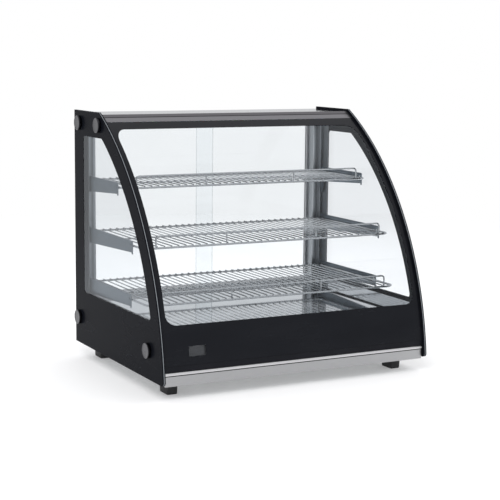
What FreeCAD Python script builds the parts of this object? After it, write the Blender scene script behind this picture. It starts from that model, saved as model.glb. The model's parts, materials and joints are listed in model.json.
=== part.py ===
import FreeCAD, Part
import math
import os
import Sketcher

# A countertop hot food display case: a curved glass front between two black-bordered glass sides, three
# chromed wire shelves on slotted standards, a heated base with a polished floor, and two sliding rear doors.
# Frame: millimetres, +X to the right seen from the front, +Y to the rear, +Z up. The origin is on the
# table, below the middle of the whole object. Left-hand pieces are modelled and mirrored across X = 0.

V = FreeCAD.Vector
doc = FreeCAD.newDocument("hot_food_display_case")

# ------------------------------------------------------------------------------------------------------
# Driving dimensions: alias, value, meaning
# ------------------------------------------------------------------------------------------------------
DIMENSIONS = [
    ("case_half", 350.0, "half the width over the side panels"),
    ("depth_half", 284.0, "half the overall depth"),
    ("panel_thick", 7.0, "side panel, glass and printed border together"),
    ("skin", 0.5, "thickness of the printed border on each face of the side glass"),
    ("arc_radius", 732.0, "front edge of the side panels"),
    ("arc_level", -23.8, "height of the centre of that arc"),
    ("panel_round", 9.0, "bottom front corner of the side panels"),
    ("panel_bottom", 36.0, "underside of the side panels"),
    ("panel_top", 619.0, "top edge of the side panels"),
    ("panel_rear", 254.0, "rear edge of the side panels"),
    ("side_band", 41.5, "border along the curved edge"),
    ("side_window_low", 171.0, "lower edge of the side window"),
    ("side_window_high", 558.0, "upper edge of the side window"),
    ("side_window_rear", 193.5, "rear edge of the side window"),
    ("side_window_round", 9.0, "corners of the side window"),
    ("stud_cap_radius", 18.0, "round caps that hold the side panels"),
    ("stud_cap_length", 8.0, "how far the caps stand proud"),
    ("cap_chamfer", 0.8, "chamfer round the caps"),
    ("cap_ring", 2.4, "flat ring inside that chamfer"),
    ("cap_dish", 0.4, "depth of the dish in the caps"),
    ("cap_bore", 5.0, "depth of the blind bore for the stud"),
    ("stud_radius", 3.0, "threaded studs"),
    ("stud_hole", 6.0, "radius of the holes in the side glass"),
    ("fit_gap", 0.05, "radial clearance of a running or sliding fit"),
    ("stud_high", 588.5, "height of the upper studs"),
    ("stud_low", 102.0, "height of the lower studs"),
    ("stud_high_rear", 219.5, "upper rear studs"),
    ("stud_high_front", 93.0, "upper front studs"),
    ("stud_low_rear", 227.0, "lower rear studs"),
    ("stud_low_front", -203.0, "lower front studs"),
    ("stud_reach", 18.0, "how far the studs reach into the case"),
    ("front_setback", 6.0, "front glass behind the edge of the side panels"),
    ("print_thick", 0.4, "printed layer on the front glass"),
    ("front_thick", 5.0, "front glass"),
    ("front_low", 77.0, "lower edge of the front glass"),
    ("front_high", 597.0, "upper edge of the front glass"),
    ("front_window_low", 165.0, "lower edge of the front window"),
    ("front_window_high", 581.0, "upper edge of the front window"),
    ("front_window_half", 329.5, "half the width of the front window"),
    ("front_window_round", 25.0, "corners of the front window"),
    ("seal", 1.0, "seal between the front and side glass"),
    ("channel_front", -273.5, "front of the channel below the front glass"),
    ("channel_rear", -263.0, "back of that channel"),
    ("channel_lip_front", -266.0, "top of its inner lip, front edge"),
    ("channel_seat", -267.6, "its inner lip where the glass stands"),
    ("channel_high", 92.0, "top of its inner lip"),
    ("channel_play", 0.3, "space below the front glass"),
    ("sheet", 1.5, "sheet steel"),
    ("pan_front", -270.0, "front of the base pan"),
    ("pan_rear", 253.5, "back of the rear control panel"),
    ("floor_top", 147.0, "food floor"),
    ("floor_front", -249.0, "front edge of the food floor"),
    ("floor_lip", 15.0, "upturned lip of the food floor"),
    ("floor_thick", 1.2, "food floor sheet"),
    ("pan_upstand", 60.0, "top of the pan's front wall"),
    ("pan_flange", 14.0, "width of the pan's side flanges"),
    ("pan_front_end", -255.0, "front of the pan's side walls"),
    ("pan_rear_end", 208.0, "rear of the pan's side walls"),
    ("trim_half", 340.5, "half the length of the front trim"),
    ("trim_face", -275.0, "face of the front trim"),
    ("trim_low", 32.0, "underside of the front trim"),
    ("trim_high", 63.0, "top of the front trim"),
    ("trim_wall", 3.5, "wall of the trim"),
    ("trim_shelf", 2.5, "shelf along the top of the trim"),
    ("trim_depth", 13.0, "depth of that shelf"),
    ("bead_radius", 4.2, "rounded upper lip of the trim"),
    ("bead_depth", 6.1, "height of that lip"),
    ("trim_groove", 8.4, "lower edge of the groove below it"),
    ("trim_step", 1.5, "depth of the groove, and how far the lip stands proud"),
    ("foot_high", 36.0, "height of the feet"),
    ("foot_wide", 28.0, "size of a foot across the case"),
    ("foot_deep", 45.0, "size of a foot along the case"),
    ("foot_reach", 300.0, "feet from the middle plane"),
    ("foot_front", -203.5, "centre of the front feet"),
    ("foot_rear", 199.0, "centre of the rear feet"),
    ("foot_draft", 1.2, "taper of a foot on each side"),
    ("foot_round", 3.0, "corners of a foot"),
    ("foot_recess", 7.0, "radius of the recess for the screw head"),
    ("foot_recess_high", 20.0, "depth of that recess"),
    ("foot_screw", 3.0, "radius of the foot screws"),
    ("screw_head", 5.5, "radius of their heads"),
    ("screw_gap", 0.1, "clearance of the foot screws"),
    ("post_inner", 312.0, "inner face of the rear posts"),
    ("post_wide", 27.5, "width of the rear posts"),
    ("post_front", 211.0, "front face of the rear posts"),
    ("post_flange_front", 181.0, "front edge of the steel flange beside each post"),
    ("post_flange_low", 163.0, "lower end of that flange, above the lips of the food floor"),
    ("standard_low", 150.0, "lower end of the shelf standards"),
    ("standard_high", 583.0, "upper end of the shelf standards"),
    ("standard_outer", 3.0, "standard beyond the bracket plane, outwards"),
    ("standard_inner", 12.0, "the same, inwards"),
    ("slot_half", 1.7, "half the width of a slot"),
    ("slot_reach", 7.0, "half the height of a slot"),
    ("gap_half", 1.9, "half the gap in the post behind the slots"),
    ("frame_top", 611.0, "top of the posts and tracks, underside of the top cover"),
    ("cover_thick", 2.0, "top cover"),
    ("bar_rise", 2.6, "top front bar above the top cover's underside"),
    ("bar_split", 9.2, "lower stripe of the bar's face"),
    ("bar_rear", 114.0, "back of the top front bar"),
    ("bar_step", 100.0, "where the bar steps down below the top cover"),
    ("stripe_step", 4.2, "step between the stripes"),
    ("stripe_round", 1.5, "height of the sloping edge above that step"),
    ("block_front", 80.0, "front of the upper corner blocks"),
    ("block_rear", 108.0, "back of the upper corner blocks"),
    ("block_low", 578.0, "underside of the upper corner blocks"),
    ("lamp_plane", 129.0, "middle of the lamp"),
    ("lamp_wide", 12.0, "half the width of the lamp channel"),
    ("lamp_deep", 14.0, "depth of the lamp channel"),
    ("lamp_sheet", 1.2, "sheet of the lamp channel"),
    ("lamp_half", 296.0, "half the length of the lamp channel"),
    ("tube_half", 286.0, "half the length of the lamp tube"),
    ("tube_radius", 8.0, "lamp tube"),
    ("holder_thick", 12.0, "lamp holders along the lamp"),
    ("bar_half", 337.0, "half the length of the top front bar"),
    ("standard_thick", 2.0, "slotted shelf standard"),
    ("bracket_plane", 336.0, "middle of the bracket plates from the middle plane"),
    ("bracket_thick", 2.0, "bracket sheet"),
    ("bracket_low", 206.0, "top edge of the lowest brackets"),
    ("bracket_pitch", 127.0, "shelf spacing"),
    ("bracket_root", 68.0, "height of a bracket at the post"),
    ("short_root", 54.0, "the same for the lowest brackets, which end above the floor"),
    ("bracket_arm", 38.5, "height of a bracket arm at its rear"),
    ("bracket_end", 25.0, "height of a bracket arm at its tip"),
    ("bracket_hole", 2.8, "holes in the bracket arms"),
    ("ledge_wide", 11.0, "ledge that carries the shelf frame"),
    ("ledge_thick", 2.0, "thickness of that ledge"),
    ("hook_drop", 12.0, "middle of the upper hook below the top edge"),
    ("hook_half", 5.0, "half the height of a hook"),
    ("hook_depth", 7.0, "how far the hooks reach behind the standard"),
    ("hook_lip", 9.0, "lower end of a hook's lip below its middle"),
    ("slot_pitch", 25.4, "slots of the shelf standards"),
    ("shelf_drop", 12.0, "shelf frame below the top edge of its brackets"),
    ("shelf_half", 332.0, "half the shelf width, to the frame wire's centre"),
    ("shelf_rear", 200.0, "rear frame wire of the shelves"),
    ("shelf_round", 22.0, "corners of the shelf frame"),
    ("frame_wire", 2.5, "radius of the frame wire"),
    ("deck_wire", 1.5, "radius of the deck wires"),
    ("cross_wire", 2.0, "radius of the cross wires and of the guard rail"),
    ("wire_pitch", 18.0, "spacing of the deck wires"),
    ("wire_count", 36.0, "deck wires in a shelf"),
    ("weld", 0.4, "depth that welded wires sink into each other"),
    ("rail_high", 27.5, "guard rail above the shelf frame"),
    ("rail_half", 301.0, "half the length of a guard rail"),
    ("rail_bend", 8.0, "bends of the guard rail"),
    ("rail_prop", 120.5, "guard rail props from the middle plane"),
    ("prop_wire", 1.6, "radius of the guard rail props"),
    ("door_overlap", 20.0, "half the overlap of the two doors"),
    ("door_low", 155.0, "lower edge of the door glass"),
    ("door_high", 603.0, "upper edge of the door glass"),
    ("door_thick", 5.0, "door glass"),
    ("pull_wide", 5.0, "width of the edge profiles of the doors"),
    ("pull_wall", 1.5, "wall of the edge profiles"),
    ("pull_half", 4.8, "half the depth of the edge profiles"),
    ("pull_low", 166.0, "lower end of the edge profiles"),
    ("pull_high", 582.0, "upper end of the edge profiles"),
    ("glide_half", 15.0, "half the length of the door glides"),
    ("glide_deep", 3.2, "half the depth of the door glides"),
    ("track_front", 219.5, "front of the door tracks"),
    ("track_rear", 252.0, "back of the door tracks"),
    ("track_floor", 2.0, "web of the door tracks"),
    ("low_track", 11.0, "rim of the lower track above the food floor"),
    ("high_track", 588.0, "rim of the upper track"),
    ("inner_door", 229.0, "plane of the left door"),
    ("outer_door", 243.0, "plane of the right door"),
    ("groove_half", 3.5, "half the width of a track groove"),
    ("knob_place", -220.0, "thermostat knob across the case"),
    ("knob_level", 95.0, "height of the controls"),
    ("knob_radius", 20.0, "skirt of the thermostat knob"),
    ("knob_grip", 14.0, "drum of the knob"),
    ("knob_front", 255.0, "front of the knob's skirt"),
    ("shaft_radius", 3.0, "thermostat shaft"),
    ("heater_level", 100.0, "height of the heating element"),
    ("heater_radius", 4.0, "heating element"),
    ("heater_bend", 40.0, "bends of the heating element"),
    ("heater_rear", 150.0, "rear ends of the heating element"),
    ("heater_front", -140.0, "where its front bends start"),
    ("heater_turn", 60.0, "where its rear bend starts"),
    ("louvre_wide", 46.0, "length of a louvre"),
    ("louvre_high", 5.0, "height of a louvre"),
    ("rocker_high", 11.0, "half the height of a rocker switch's housing"),
    ("rocker_wide", 8.5, "half the width of a rocker switch's housing"),
    ("bezel", 2.0, "bezel of a rocker switch"),
    ("power_place", -150.0, "power rocker across the case"),
    ("lamp_place", -105.0, "lamp rocker across the case"),
    ("cord_radius", 3.75, "power cord"),
    ("gland_neck", 7.9, "neck of the cord gland"),
    ("gland_nut", 11.0, "nut of the cord gland"),
    ("gland_bore", 6.6, "bore of the cord gland"),
    ("gland_place", 222.0, "cord gland across the case"),
    ("gland_level", 78.0, "height of the cord gland"),
    ("cord_plane", 268.0, "plane of the wound cord"),
    ("coil_left", 172.0, "left bends of the wound cord"),
    ("coil_right", 230.0, "right bends of the wound cord"),
    ("coil_bend", 18.0, "innermost bend of the wound cord"),
    ("coil_step", 8.2, "spacing of the strands"),
    ("plug_radius", 13.0, "plug body"),
    ("plug_long", 29.0, "length of the plug body"),
    ("plug_pin", 2.4, "radius of a plug pin"),
    ("pin_half", 9.5, "plug pins from the middle of the plug"),
    ("display_middle", -259.0, "temperature window across the case"),
    ("display_half", 21.0, "half the width of the temperature window"),
    ("display_low", 95.0, "lower edge of the temperature window"),
    ("display_high", 118.0, "upper edge of the temperature window"),
    ("housing_front", -259.5, "front of the display module"),
    ("housing_rear", -236.0, "back of the display module"),
    ("housing_margin", 6.0, "display module beside the window"),
    ("housing_low", 88.0, "underside of the display module"),
    ("housing_high", 125.0, "top of the display module"),
    ("lens_thick", 1.2, "tinted lens behind the window"),
]

SHELVES = {  # name: (row above the lowest bracket, front frame wire, bracket tip, root height, hook step)
    "top": (2, -22.0, 5.0, "bracket_root", 2),
    "middle": (1, -135.0, -82.0, "bracket_root", 2),
    "bottom": (0, -163.5, -73.0, "short_root", 1),
}
CLEAR = 1.0  # how far cutting tools stick out of the pieces they cut

sheet = doc.addObject("Spreadsheet::Sheet", "Dims")
for row, (alias, value, meaning) in enumerate(DIMENSIONS, start=1):
    sheet.set(f"A{row}", meaning)
    sheet.set(f"B{row}", str(value))
    sheet.setAlias(f"B{row}", alias)
doc.recompute()


class Dim:
    """A length that is both a number and the spreadsheet expression it comes from."""

    def __init__(self, value, text):
        self.value = value
        self.text = text

    def __add__(self, other):
        other = dim(other)
        return Dim(self.value + other.value, f"({self.text} + {other.text})")

    def __radd__(self, other):
        return dim(other) + self

    def __sub__(self, other):
        other = dim(other)
        return Dim(self.value - other.value, f"({self.text} - {other.text})")

    def __rsub__(self, other):
        return dim(other) - self

    def __mul__(self, factor):
        factor = dim(factor)
        return Dim(self.value * factor.value, f"({self.text} * {factor.text})")

    __rmul__ = __mul__

    def __truediv__(self, other):
        other = dim(other)
        return Dim(self.value / other.value, f"({self.text} / {other.text})")

    def __neg__(self):
        return Dim(-self.value, f"(0 - {self.text})")


def dim(number):
    return number if isinstance(number, Dim) else Dim(float(number), f"({float(number)})")


def root(number):
    return Dim(math.sqrt(number.value), f"sqrt({number.text})")


D = {alias: Dim(value, f"Dims.{alias}") for alias, value, meaning in DIMENSIONS}


# ------------------------------------------------------------------------------------------------------
# Helpers: expressions, primitives, sketches and features
# ------------------------------------------------------------------------------------------------------
def bind(item, prop, length):
    length = dim(length)
    item.setExpression(prop, length.text)
    return item


def place(item, x=0, y=0, z=0):
    for axis, length in (("x", x), ("y", y), ("z", z)):
        bind(item, f"Placement.Base.{axis}", length)
    return item


def block(name, x, y, z):
    """A box between the (low, high) pairs x, y and z."""
    box = doc.addObject("Part::Box", name)
    for prop, (low, high) in (("Length", x), ("Width", y), ("Height", z)):
        bind(box, prop, dim(high) - low)
    return place(box, x[0], y[0], z[0])


TURN = {
    "x": FreeCAD.Rotation(V(0, 1, 0), 90),
    "y": FreeCAD.Rotation(V(1, 0, 0), -90),
    "z": FreeCAD.Rotation(),
}


def rod(name, axis, radius, x, y, z):
    """A cylinder along axis; that axis takes a (low, high) pair, the other two take its centre."""
    ends = {"x": x, "y": y, "z": z}
    low, high = ends[axis]
    cylinder = doc.addObject("Part::Cylinder", name)
    cylinder.Placement = FreeCAD.Placement(V(), TURN[axis])
    bind(cylinder, "Radius", radius)
    bind(cylinder, "Height", dim(high) - low)
    ends[axis] = low
    return place(cylinder, ends["x"], ends["y"], ends["z"])


def join(name, pieces):
    fused = doc.addObject("Part::MultiFuse", name)
    fused.Shapes = pieces
    return fused


def group(name, pieces):
    """Separate solids kept in one object."""
    compound = doc.addObject("Part::Compound", name)
    compound.Links = pieces
    return compound


def cut(name, base, tools):
    tool = tools[0] if len(tools) == 1 else join(name + "_tools", tools)
    result = doc.addObject("Part::Cut", name)
    result.Base = base
    result.Tool = tool
    return result


def mirrored(name, source):
    mirror = doc.addObject("Part::Mirroring", name)
    mirror.Source = source
    mirror.Normal = V(1, 0, 0)
    return mirror


def new_body(name):
    return doc.addObject("PartDesign::Body", name)


def new_sketch(body, name, plane, offset=0):
    """A sketch on the body's XY, XZ or YZ plane, moved by offset along +Z, +Y or +X."""
    sketch = body.newObject("Sketcher::SketchObject", name)
    role = plane + "_Plane"
    support = [item for item in body.Origin.OriginFeatures if item.Role == role][0]
    sketch.AttachmentSupport = [(support, "")]
    sketch.MapMode = "FlatFace"
    along = -dim(offset) if plane == "XZ" else dim(offset)
    return bind(sketch, "AttachmentOffset.Base.z", along)


def pin_point(sketch, geometry, end, point):
    for kind, length in (("DistanceX", dim(point[0])), ("DistanceY", dim(point[1]))):
        index = sketch.addConstraint(Sketcher.Constraint(kind, -1, 1, geometry, end, length.value))
        sketch.setExpression(f"Constraints[{index}]", length.text)


def vector(point):
    return V(dim(point[0]).value, dim(point[1]).value, 0)


def add_arc(sketch, start, end, radius, centre, anticlockwise):
    """Adds the arc and returns (geometry, its end at start, its end at end)."""
    middle = vector(centre)
    first, last = (start, end) if anticlockwise else (end, start)
    angles = [math.atan2(p.y - middle.y, p.x - middle.x) for p in (vector(first), vector(last))]
    if angles[1] < angles[0]:
        angles[1] += 2 * math.pi
    circle = Part.Circle(middle, V(0, 0, 1), dim(radius).value)
    geometry = sketch.addGeometry(Part.ArcOfCircle(circle, angles[0], angles[1]), False)
    index = sketch.addConstraint(Sketcher.Constraint("Radius", geometry, dim(radius).value))
    sketch.setExpression(f"Constraints[{index}]", dim(radius).text)
    return (geometry, 1, 2) if anticlockwise else (geometry, 2, 1)


def draw(sketch, points, closed=True):
    """Draws an outline. Each point is (x, y) or (x, y, arc), where arc = (radius, centre, anticlockwise)
    shapes the edge that leaves the point."""
    edges = []
    count = len(points) if closed else len(points) - 1
    for index in range(count):
        start = points[index]
        end = points[(index + 1) % len(points)]
        if len(start) == 3:
            edges.append(add_arc(sketch, start, end, *start[2]))
        else:
            line = Part.LineSegment(vector(start), vector(end))
            edges.append((sketch.addGeometry(line, False), 1, 2))
    for index, (geometry, first, last) in enumerate(edges):
        pin_point(sketch, geometry, first, points[index])
        if closed or index < count - 1:
            follower = edges[(index + 1) % count]
            join_ends = Sketcher.Constraint("Coincident", geometry, last, follower[0], follower[1])
            sketch.addConstraint(join_ends)
    if not closed:
        geometry, first, last = edges[-1]
        pin_point(sketch, geometry, last, points[-1])
    return sketch


def draw_circle(sketch, centre, radius):
    circle = Part.Circle(vector(centre), V(0, 0, 1), dim(radius).value)
    geometry = sketch.addGeometry(circle, False)
    pin_point(sketch, geometry, 3, centre)
    index = sketch.addConstraint(Sketcher.Constraint("Radius", geometry, dim(radius).value))
    sketch.setExpression(f"Constraints[{index}]", dim(radius).text)
    return sketch


def rectangle(x, y):
    return [(x[0], y[0]), (x[1], y[0]), (x[1], y[1]), (x[0], y[1])]


def rounded_rectangle(x, y, radius):
    """Corner points and arcs, anticlockwise from the left end of the lower side."""
    (left, right), (low, high) = x, y
    near_left, near_right = left + radius, right - radius
    near_low, near_high = low + radius, high - radius
    return [
        (near_left, low),
        (near_right, low, (radius, (near_right, near_low), True)),
        (right, near_low),
        (right, near_high, (radius, (near_right, near_high), True)),
        (near_right, high),
        (near_left, high, (radius, (near_left, near_high), True)),
        (left, near_high),
        (left, near_low, (radius, (near_left, near_low), True)),
    ]


def half_turn(start, radius, side, rise):
    """Two quarter arcs that turn back: side is where they bulge, rise is the way they go, +1 or -1."""
    x, y = start
    centre = (x, y + radius * rise)
    anticlockwise = side * rise > 0
    return [
        (x, y, (radius, centre, anticlockwise)),
        (x + radius * side, y + radius * rise, (radius, centre, anticlockwise)),
        (x, y + radius * 2 * rise),
    ]


def hairpin(start, radius, rise):
    """Two quarter arcs from one leg of a hairpin to the next, to the right; rise is the way they bulge."""
    x, y = start
    centre = (x + radius, y)
    anticlockwise = rise < 0
    return [
        (x, y, (radius, centre, anticlockwise)),
        (x + radius, y + radius * rise, (radius, centre, anticlockwise)),
        (x + radius * 2, y),
    ]


def pad(body, name, plane, outlines, low, high):
    """Adds material between low and high along the plane's row axis."""
    sketch = new_sketch(body, name + "_sketch", plane, high if plane == "XZ" else low)
    for outline in outlines:
        draw(sketch, outline)
    feature = body.newObject("PartDesign::Pad", name)
    feature.Profile = sketch
    bind(feature, "Length", dim(high) - low)
    body.Tip = feature
    return feature


def pocket(body, name, plane, outlines, low, high, circles=()):
    """Removes material between low and high along the plane's row axis."""
    doc.recompute([body])
    before = body.Shape.Volume
    sketch = new_sketch(body, name + "_sketch", plane, low if plane == "XZ" else high)
    for outline in outlines:
        draw(sketch, outline)
    for centre, radius in circles:
        draw_circle(sketch, centre, radius)
    feature = body.newObject("PartDesign::Pocket", name)
    feature.Profile = sketch
    bind(feature, "Length", dim(high) - low)
    body.Tip = feature
    doc.recompute([body])
    if not body.Shape.Volume < before:
        raise RuntimeError(f"{name} removed nothing")
    return feature


def round_edges(body, name, radius, wanted):
    """Fillets the edges of the body's last feature that wanted(edge) picks."""
    doc.recompute([body])
    base = body.Tip
    names = [f"Edge{index}" for index, edge in enumerate(base.Shape.Edges, start=1) if wanted(edge)]
    fillet = body.newObject("PartDesign::Fillet", name)
    fillet.Base = (base, names)
    bind(fillet, "Radius", radius)
    body.Tip = fillet
    return fillet


def pipe(body, name, plane, path, offset, closed, profile_plane, profile_offset, centre, radius):
    """Sweeps a circle along a path of lines and arcs."""
    spine = draw(new_sketch(body, name + "_path", plane, offset), path, closed)
    profile = new_sketch(body, name + "_profile", profile_plane, profile_offset)
    draw_circle(profile, centre, radius)
    sweep = body.newObject("PartDesign::AdditivePipe", name)
    sweep.Profile = profile
    sweep.Spine = (spine, [])
    body.Tip = sweep
    return sweep


def line_of(body, name, original, axis, length, count):
    """Repeats a feature along an axis of its own sketch."""
    pattern = body.newObject("PartDesign::LinearPattern", name)
    pattern.Originals = [original]
    pattern.Direction = (original.Profile[0], [axis])
    pattern.Refine = False
    bind(pattern, "Length", length)
    bind(pattern, "Occurrences", count)
    body.Tip = pattern
    return pattern


NODES = []


def node(item, name):
    """Labels a finished piece, so that it is written as its own file."""
    item.Label = name
    NODES.append(item)
    return item


# ------------------------------------------------------------------------------------------------------
# Shared geometry of the curved front
# ------------------------------------------------------------------------------------------------------
INNER = D["case_half"] - D["panel_thick"]
ROUND_LEVEL = D["panel_bottom"] + D["panel_round"] - D["arc_level"]
ROUND_REACH = root(
    (D["arc_radius"] - D["panel_round"]) * (D["arc_radius"] - D["panel_round"]) - ROUND_LEVEL * ROUND_LEVEL
)
ARC_MIDDLE = D["panel_round"] + ROUND_REACH - D["depth_half"]
ARC_CENTRE = (ARC_MIDDLE, D["arc_level"])


def arc_y(radius, level):
    """Where the arc of that radius crosses a height."""
    rise = dim(level) - D["arc_level"]
    return ARC_MIDDLE - root(radius * radius - rise * rise)


def arc_band(outer, inner, low, high):
    """Cross-section of a curved sheet between two radii and two heights."""
    return [
        (arc_y(outer, high), high, (outer, ARC_CENTRE, True)),
        (arc_y(outer, low), low),
        (arc_y(inner, low), low, (inner, ARC_CENTRE, False)),
        (arc_y(inner, high), high),
    ]


def side_outline(inset):
    """Outline of a side panel, moved inwards by inset."""
    radius = D["arc_radius"] - inset
    corner = D["panel_round"] - inset
    low = D["panel_bottom"] + inset
    high = D["panel_top"] - inset
    rear = D["panel_rear"] - inset
    corner_y = ARC_MIDDLE - ROUND_REACH
    corner_z = D["panel_bottom"] + D["panel_round"]
    share = radius / (D["arc_radius"] - D["panel_round"])
    touch = (ARC_MIDDLE - ROUND_REACH * share, D["arc_level"] + ROUND_LEVEL * share)
    return [
        (rear, low),
        (rear, high),
        (arc_y(radius, high), high, (radius, ARC_CENTRE, True)),
        (touch[0], touch[1], (corner, (corner_y, corner_z), True)),
        (corner_y, low),
    ]


FRONT_OUTER = D["arc_radius"] - D["front_setback"]
GLASS_OUTER = FRONT_OUTER - D["print_thick"]
GLASS_INNER = GLASS_OUTER - D["front_thick"]
STUDS = [  # (y, z) of the four studs on each side
    (D["stud_high_rear"], D["stud_high"]),
    (D["stud_high_front"], D["stud_high"]),
    (D["stud_low_rear"], D["stud_low"]),
    (D["stud_low_front"], D["stud_low"]),
]


# ------------------------------------------------------------------------------------------------------
# Side panels and their studs
# ------------------------------------------------------------------------------------------------------
def stud_holes(name):
    low, high = -D["case_half"] - CLEAR, -INNER + CLEAR
    return [rod(f"{name}_{i}", "x", D["stud_hole"], (low, high), y, z) for i, (y, z) in enumerate(STUDS)]


def side_panels():
    outer, inner = -D["case_half"], -INNER
    pane = new_body("side_pane")
    pad(pane, "side_pane_pad", "YZ", [side_outline(D["skin"])], outer + D["skin"], inner - D["skin"])
    glass = node(cut("left_side_glass", pane, stud_holes("pane_hole")), "left_side_glass")

    border = new_body("side_border_blank")
    pad(border, "side_border_pad", "YZ", [side_outline(0)], outer, inner)
    window_radius = D["arc_radius"] - D["side_band"]
    low, high, rear = D["side_window_low"], D["side_window_high"], D["side_window_rear"]
    window = [
        (rear, low),
        (rear, high),
        (arc_y(window_radius, high), high, (window_radius, ARC_CENTRE, True)),
        (arc_y(window_radius, low), low),
    ]
    pocket(border, "side_window", "YZ", [window], outer, inner)
    corners = [V(0, p[0].value, dim(p[1]).value) for p in window]

    def at_corner(edge):
        middle = edge.CenterOfMass
        near = min(V(0, middle.y, middle.z).distanceToPoint(c) for c in corners)
        return near < 0.01 and abs(edge.Length - D["panel_thick"].value) < 0.01

    round_edges(border, "side_window_corners", D["side_window_round"], at_corner)
    tools = [pane] + stud_holes("border_hole")
    trim = node(cut("left_side_border", border, tools), "left_side_border")
    node(mirrored("right_side_glass", glass), "right_side_glass")
    node(mirrored("right_side_border", trim), "right_side_border")


def cap_body(index, y, z):
    """A turned cap with a chamfered rim, a shallow dish and a blind bore for its stud."""
    body = new_body(f"cap_{index}")
    sketch = new_sketch(body, f"cap_{index}_sketch", "XY")
    rim, length, bore = D["stud_cap_radius"], D["stud_cap_length"], D["stud_radius"] + D["fit_gap"]
    chamfer, ring, dish = D["cap_chamfer"], D["cap_ring"], D["cap_dish"]
    profile = [
        (0, bore),
        (0, rim),
        (chamfer - length, rim),
        (-length, rim - chamfer),
        (-length, rim - ring),
        (dish - length, rim - ring - dish),
        (dish - length, 0),
        (-D["cap_bore"], 0),
        (-D["cap_bore"], bore),
    ]
    draw(sketch, profile)
    turned = body.newObject("PartDesign::Revolution", f"cap_{index}_turned")
    turned.Profile = sketch
    turned.ReferenceAxis = (sketch, ["H_Axis"])
    turned.Angle = 360
    body.Tip = turned
    return place(body, -D["case_half"], y, z)


def both_sides(name, pieces):
    left = group(name + "_left", pieces)
    return node(group(name, [left, mirrored(name + "_right", left)]), name)


def studs():
    both_sides("stud_caps", [cap_body(i, y, z) for i, (y, z) in enumerate(STUDS)])
    outer = -D["case_half"]
    reach = (outer - D["cap_bore"], D["stud_reach"] - INNER)
    rods = [rod(f"stud_{i}", "x", D["stud_radius"], reach, y, z) for i, (y, z) in enumerate(STUDS)]
    both_sides("stud_screws", rods)
    bushes = []
    for i, (y, z) in enumerate(STUDS):
        through = (outer - CLEAR, CLEAR - INNER)
        solid = rod(f"bush_{i}_outer", "x", D["stud_hole"] - D["fit_gap"], (outer, -INNER), y, z)
        bore = rod(f"bush_{i}_bore", "x", D["stud_radius"] + D["fit_gap"], through, y, z)
        bushes.append(cut(f"bush_{i}", solid, [bore]))
    both_sides("stud_bushes", bushes)


def stud_clearance(name, low, high, which):
    """Holes for the studs in the pieces behind the side glass, on both sides of the case."""
    holes = []
    for i in which:
        y, z = STUDS[i]
        radius = D["stud_radius"] + D["fit_gap"]
        holes.append(rod(f"{name}_{i}_left", "x", radius, (-high, -low), y, z))
        holes.append(rod(f"{name}_{i}_right", "x", radius, (low, high), y, z))
    return holes


# ------------------------------------------------------------------------------------------------------
# Curved front
# ------------------------------------------------------------------------------------------------------
def front_glass():
    half = INNER - D["seal"]
    glass = new_body("front_glass")
    section = arc_band(GLASS_OUTER, GLASS_INNER, D["front_low"], D["front_high"])
    pad(glass, "front_glass_pad", "YZ", [section], -half, half)
    node(glass, "front_glass")

    layer = new_body("front_print")
    section = arc_band(FRONT_OUTER, GLASS_OUTER, D["front_low"], D["front_high"])
    pad(layer, "front_print_pad", "YZ", [section], -half, half)
    window = rounded_rectangle(
        (-D["front_window_half"], D["front_window_half"]),
        (D["front_window_low"], D["front_window_high"]),
        D["front_window_round"],
    )
    middle, reach = D["display_middle"], D["display_half"]
    across = (middle - reach, middle + reach)
    display = rounded_rectangle(across, (D["display_low"], D["display_high"]), dim(1.5))
    pocket(layer, "front_windows", "XZ", [window, display], -D["depth_half"], D["bar_rear"])
    node(layer, "front_print")

    strip = new_body("front_seal")
    section = arc_band(GLASS_OUTER, GLASS_INNER, D["front_low"], D["front_high"])
    pad(strip, "front_seal_pad", "YZ", [section], -INNER, -half)
    both_sides("front_glass_seals", [strip])


def front_glass_channel():
    """Black profile that carries the lower edge of the front glass."""
    body = new_body("front_glass_channel")
    top = D["front_low"] - D["channel_play"]
    low = D["trim_high"] + D["channel_play"]
    front, rear, high = D["channel_front"], D["channel_rear"], D["channel_high"]
    profile = [
        (front, low),
        (rear, low),
        (rear, high),
        (D["channel_lip_front"], high),
        (D["channel_seat"], top),
        (front, top),
    ]
    half = INNER - D["channel_play"]
    pad(body, "front_glass_channel_pad", "YZ", [profile], -half, half)
    node(body, "front_glass_channel")


def front_trim():
    """Satin aluminium extrusion: rounded lip, groove, flat face and a leg below the glass channel."""
    body = new_body("front_trim")
    face, low, high = D["trim_face"], D["trim_low"], D["trim_high"]
    wall, shelf, depth, step = D["trim_wall"], D["trim_shelf"], D["trim_depth"], D["trim_step"]
    radius, bead, groove = D["bead_radius"], D["bead_depth"], D["trim_groove"]
    # the lip is an arc from the top edge to its lowest point, round a centre as far from both
    half_chord = root(step * step * 4 + bead * bead) / 2
    offset = root(radius * radius - half_chord * half_chord) / (half_chord * 2)
    centre = (face + offset * bead, high - bead / 2 - offset * step * 2)
    profile = [
        (face, low),
        (face + wall, low),
        (face + wall, high - shelf),
        (face + depth, high - shelf),
        (face + depth, high),
        (face + step, high, (radius, centre, True)),
        (face - step, high - bead),
        (face + step, high - bead),
        (face + step, high - groove),
        (face, high - groove),
    ]
    pad(body, "front_trim_pad", "YZ", [profile], -D["trim_half"], D["trim_half"])
    node(body, "front_trim")


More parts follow.
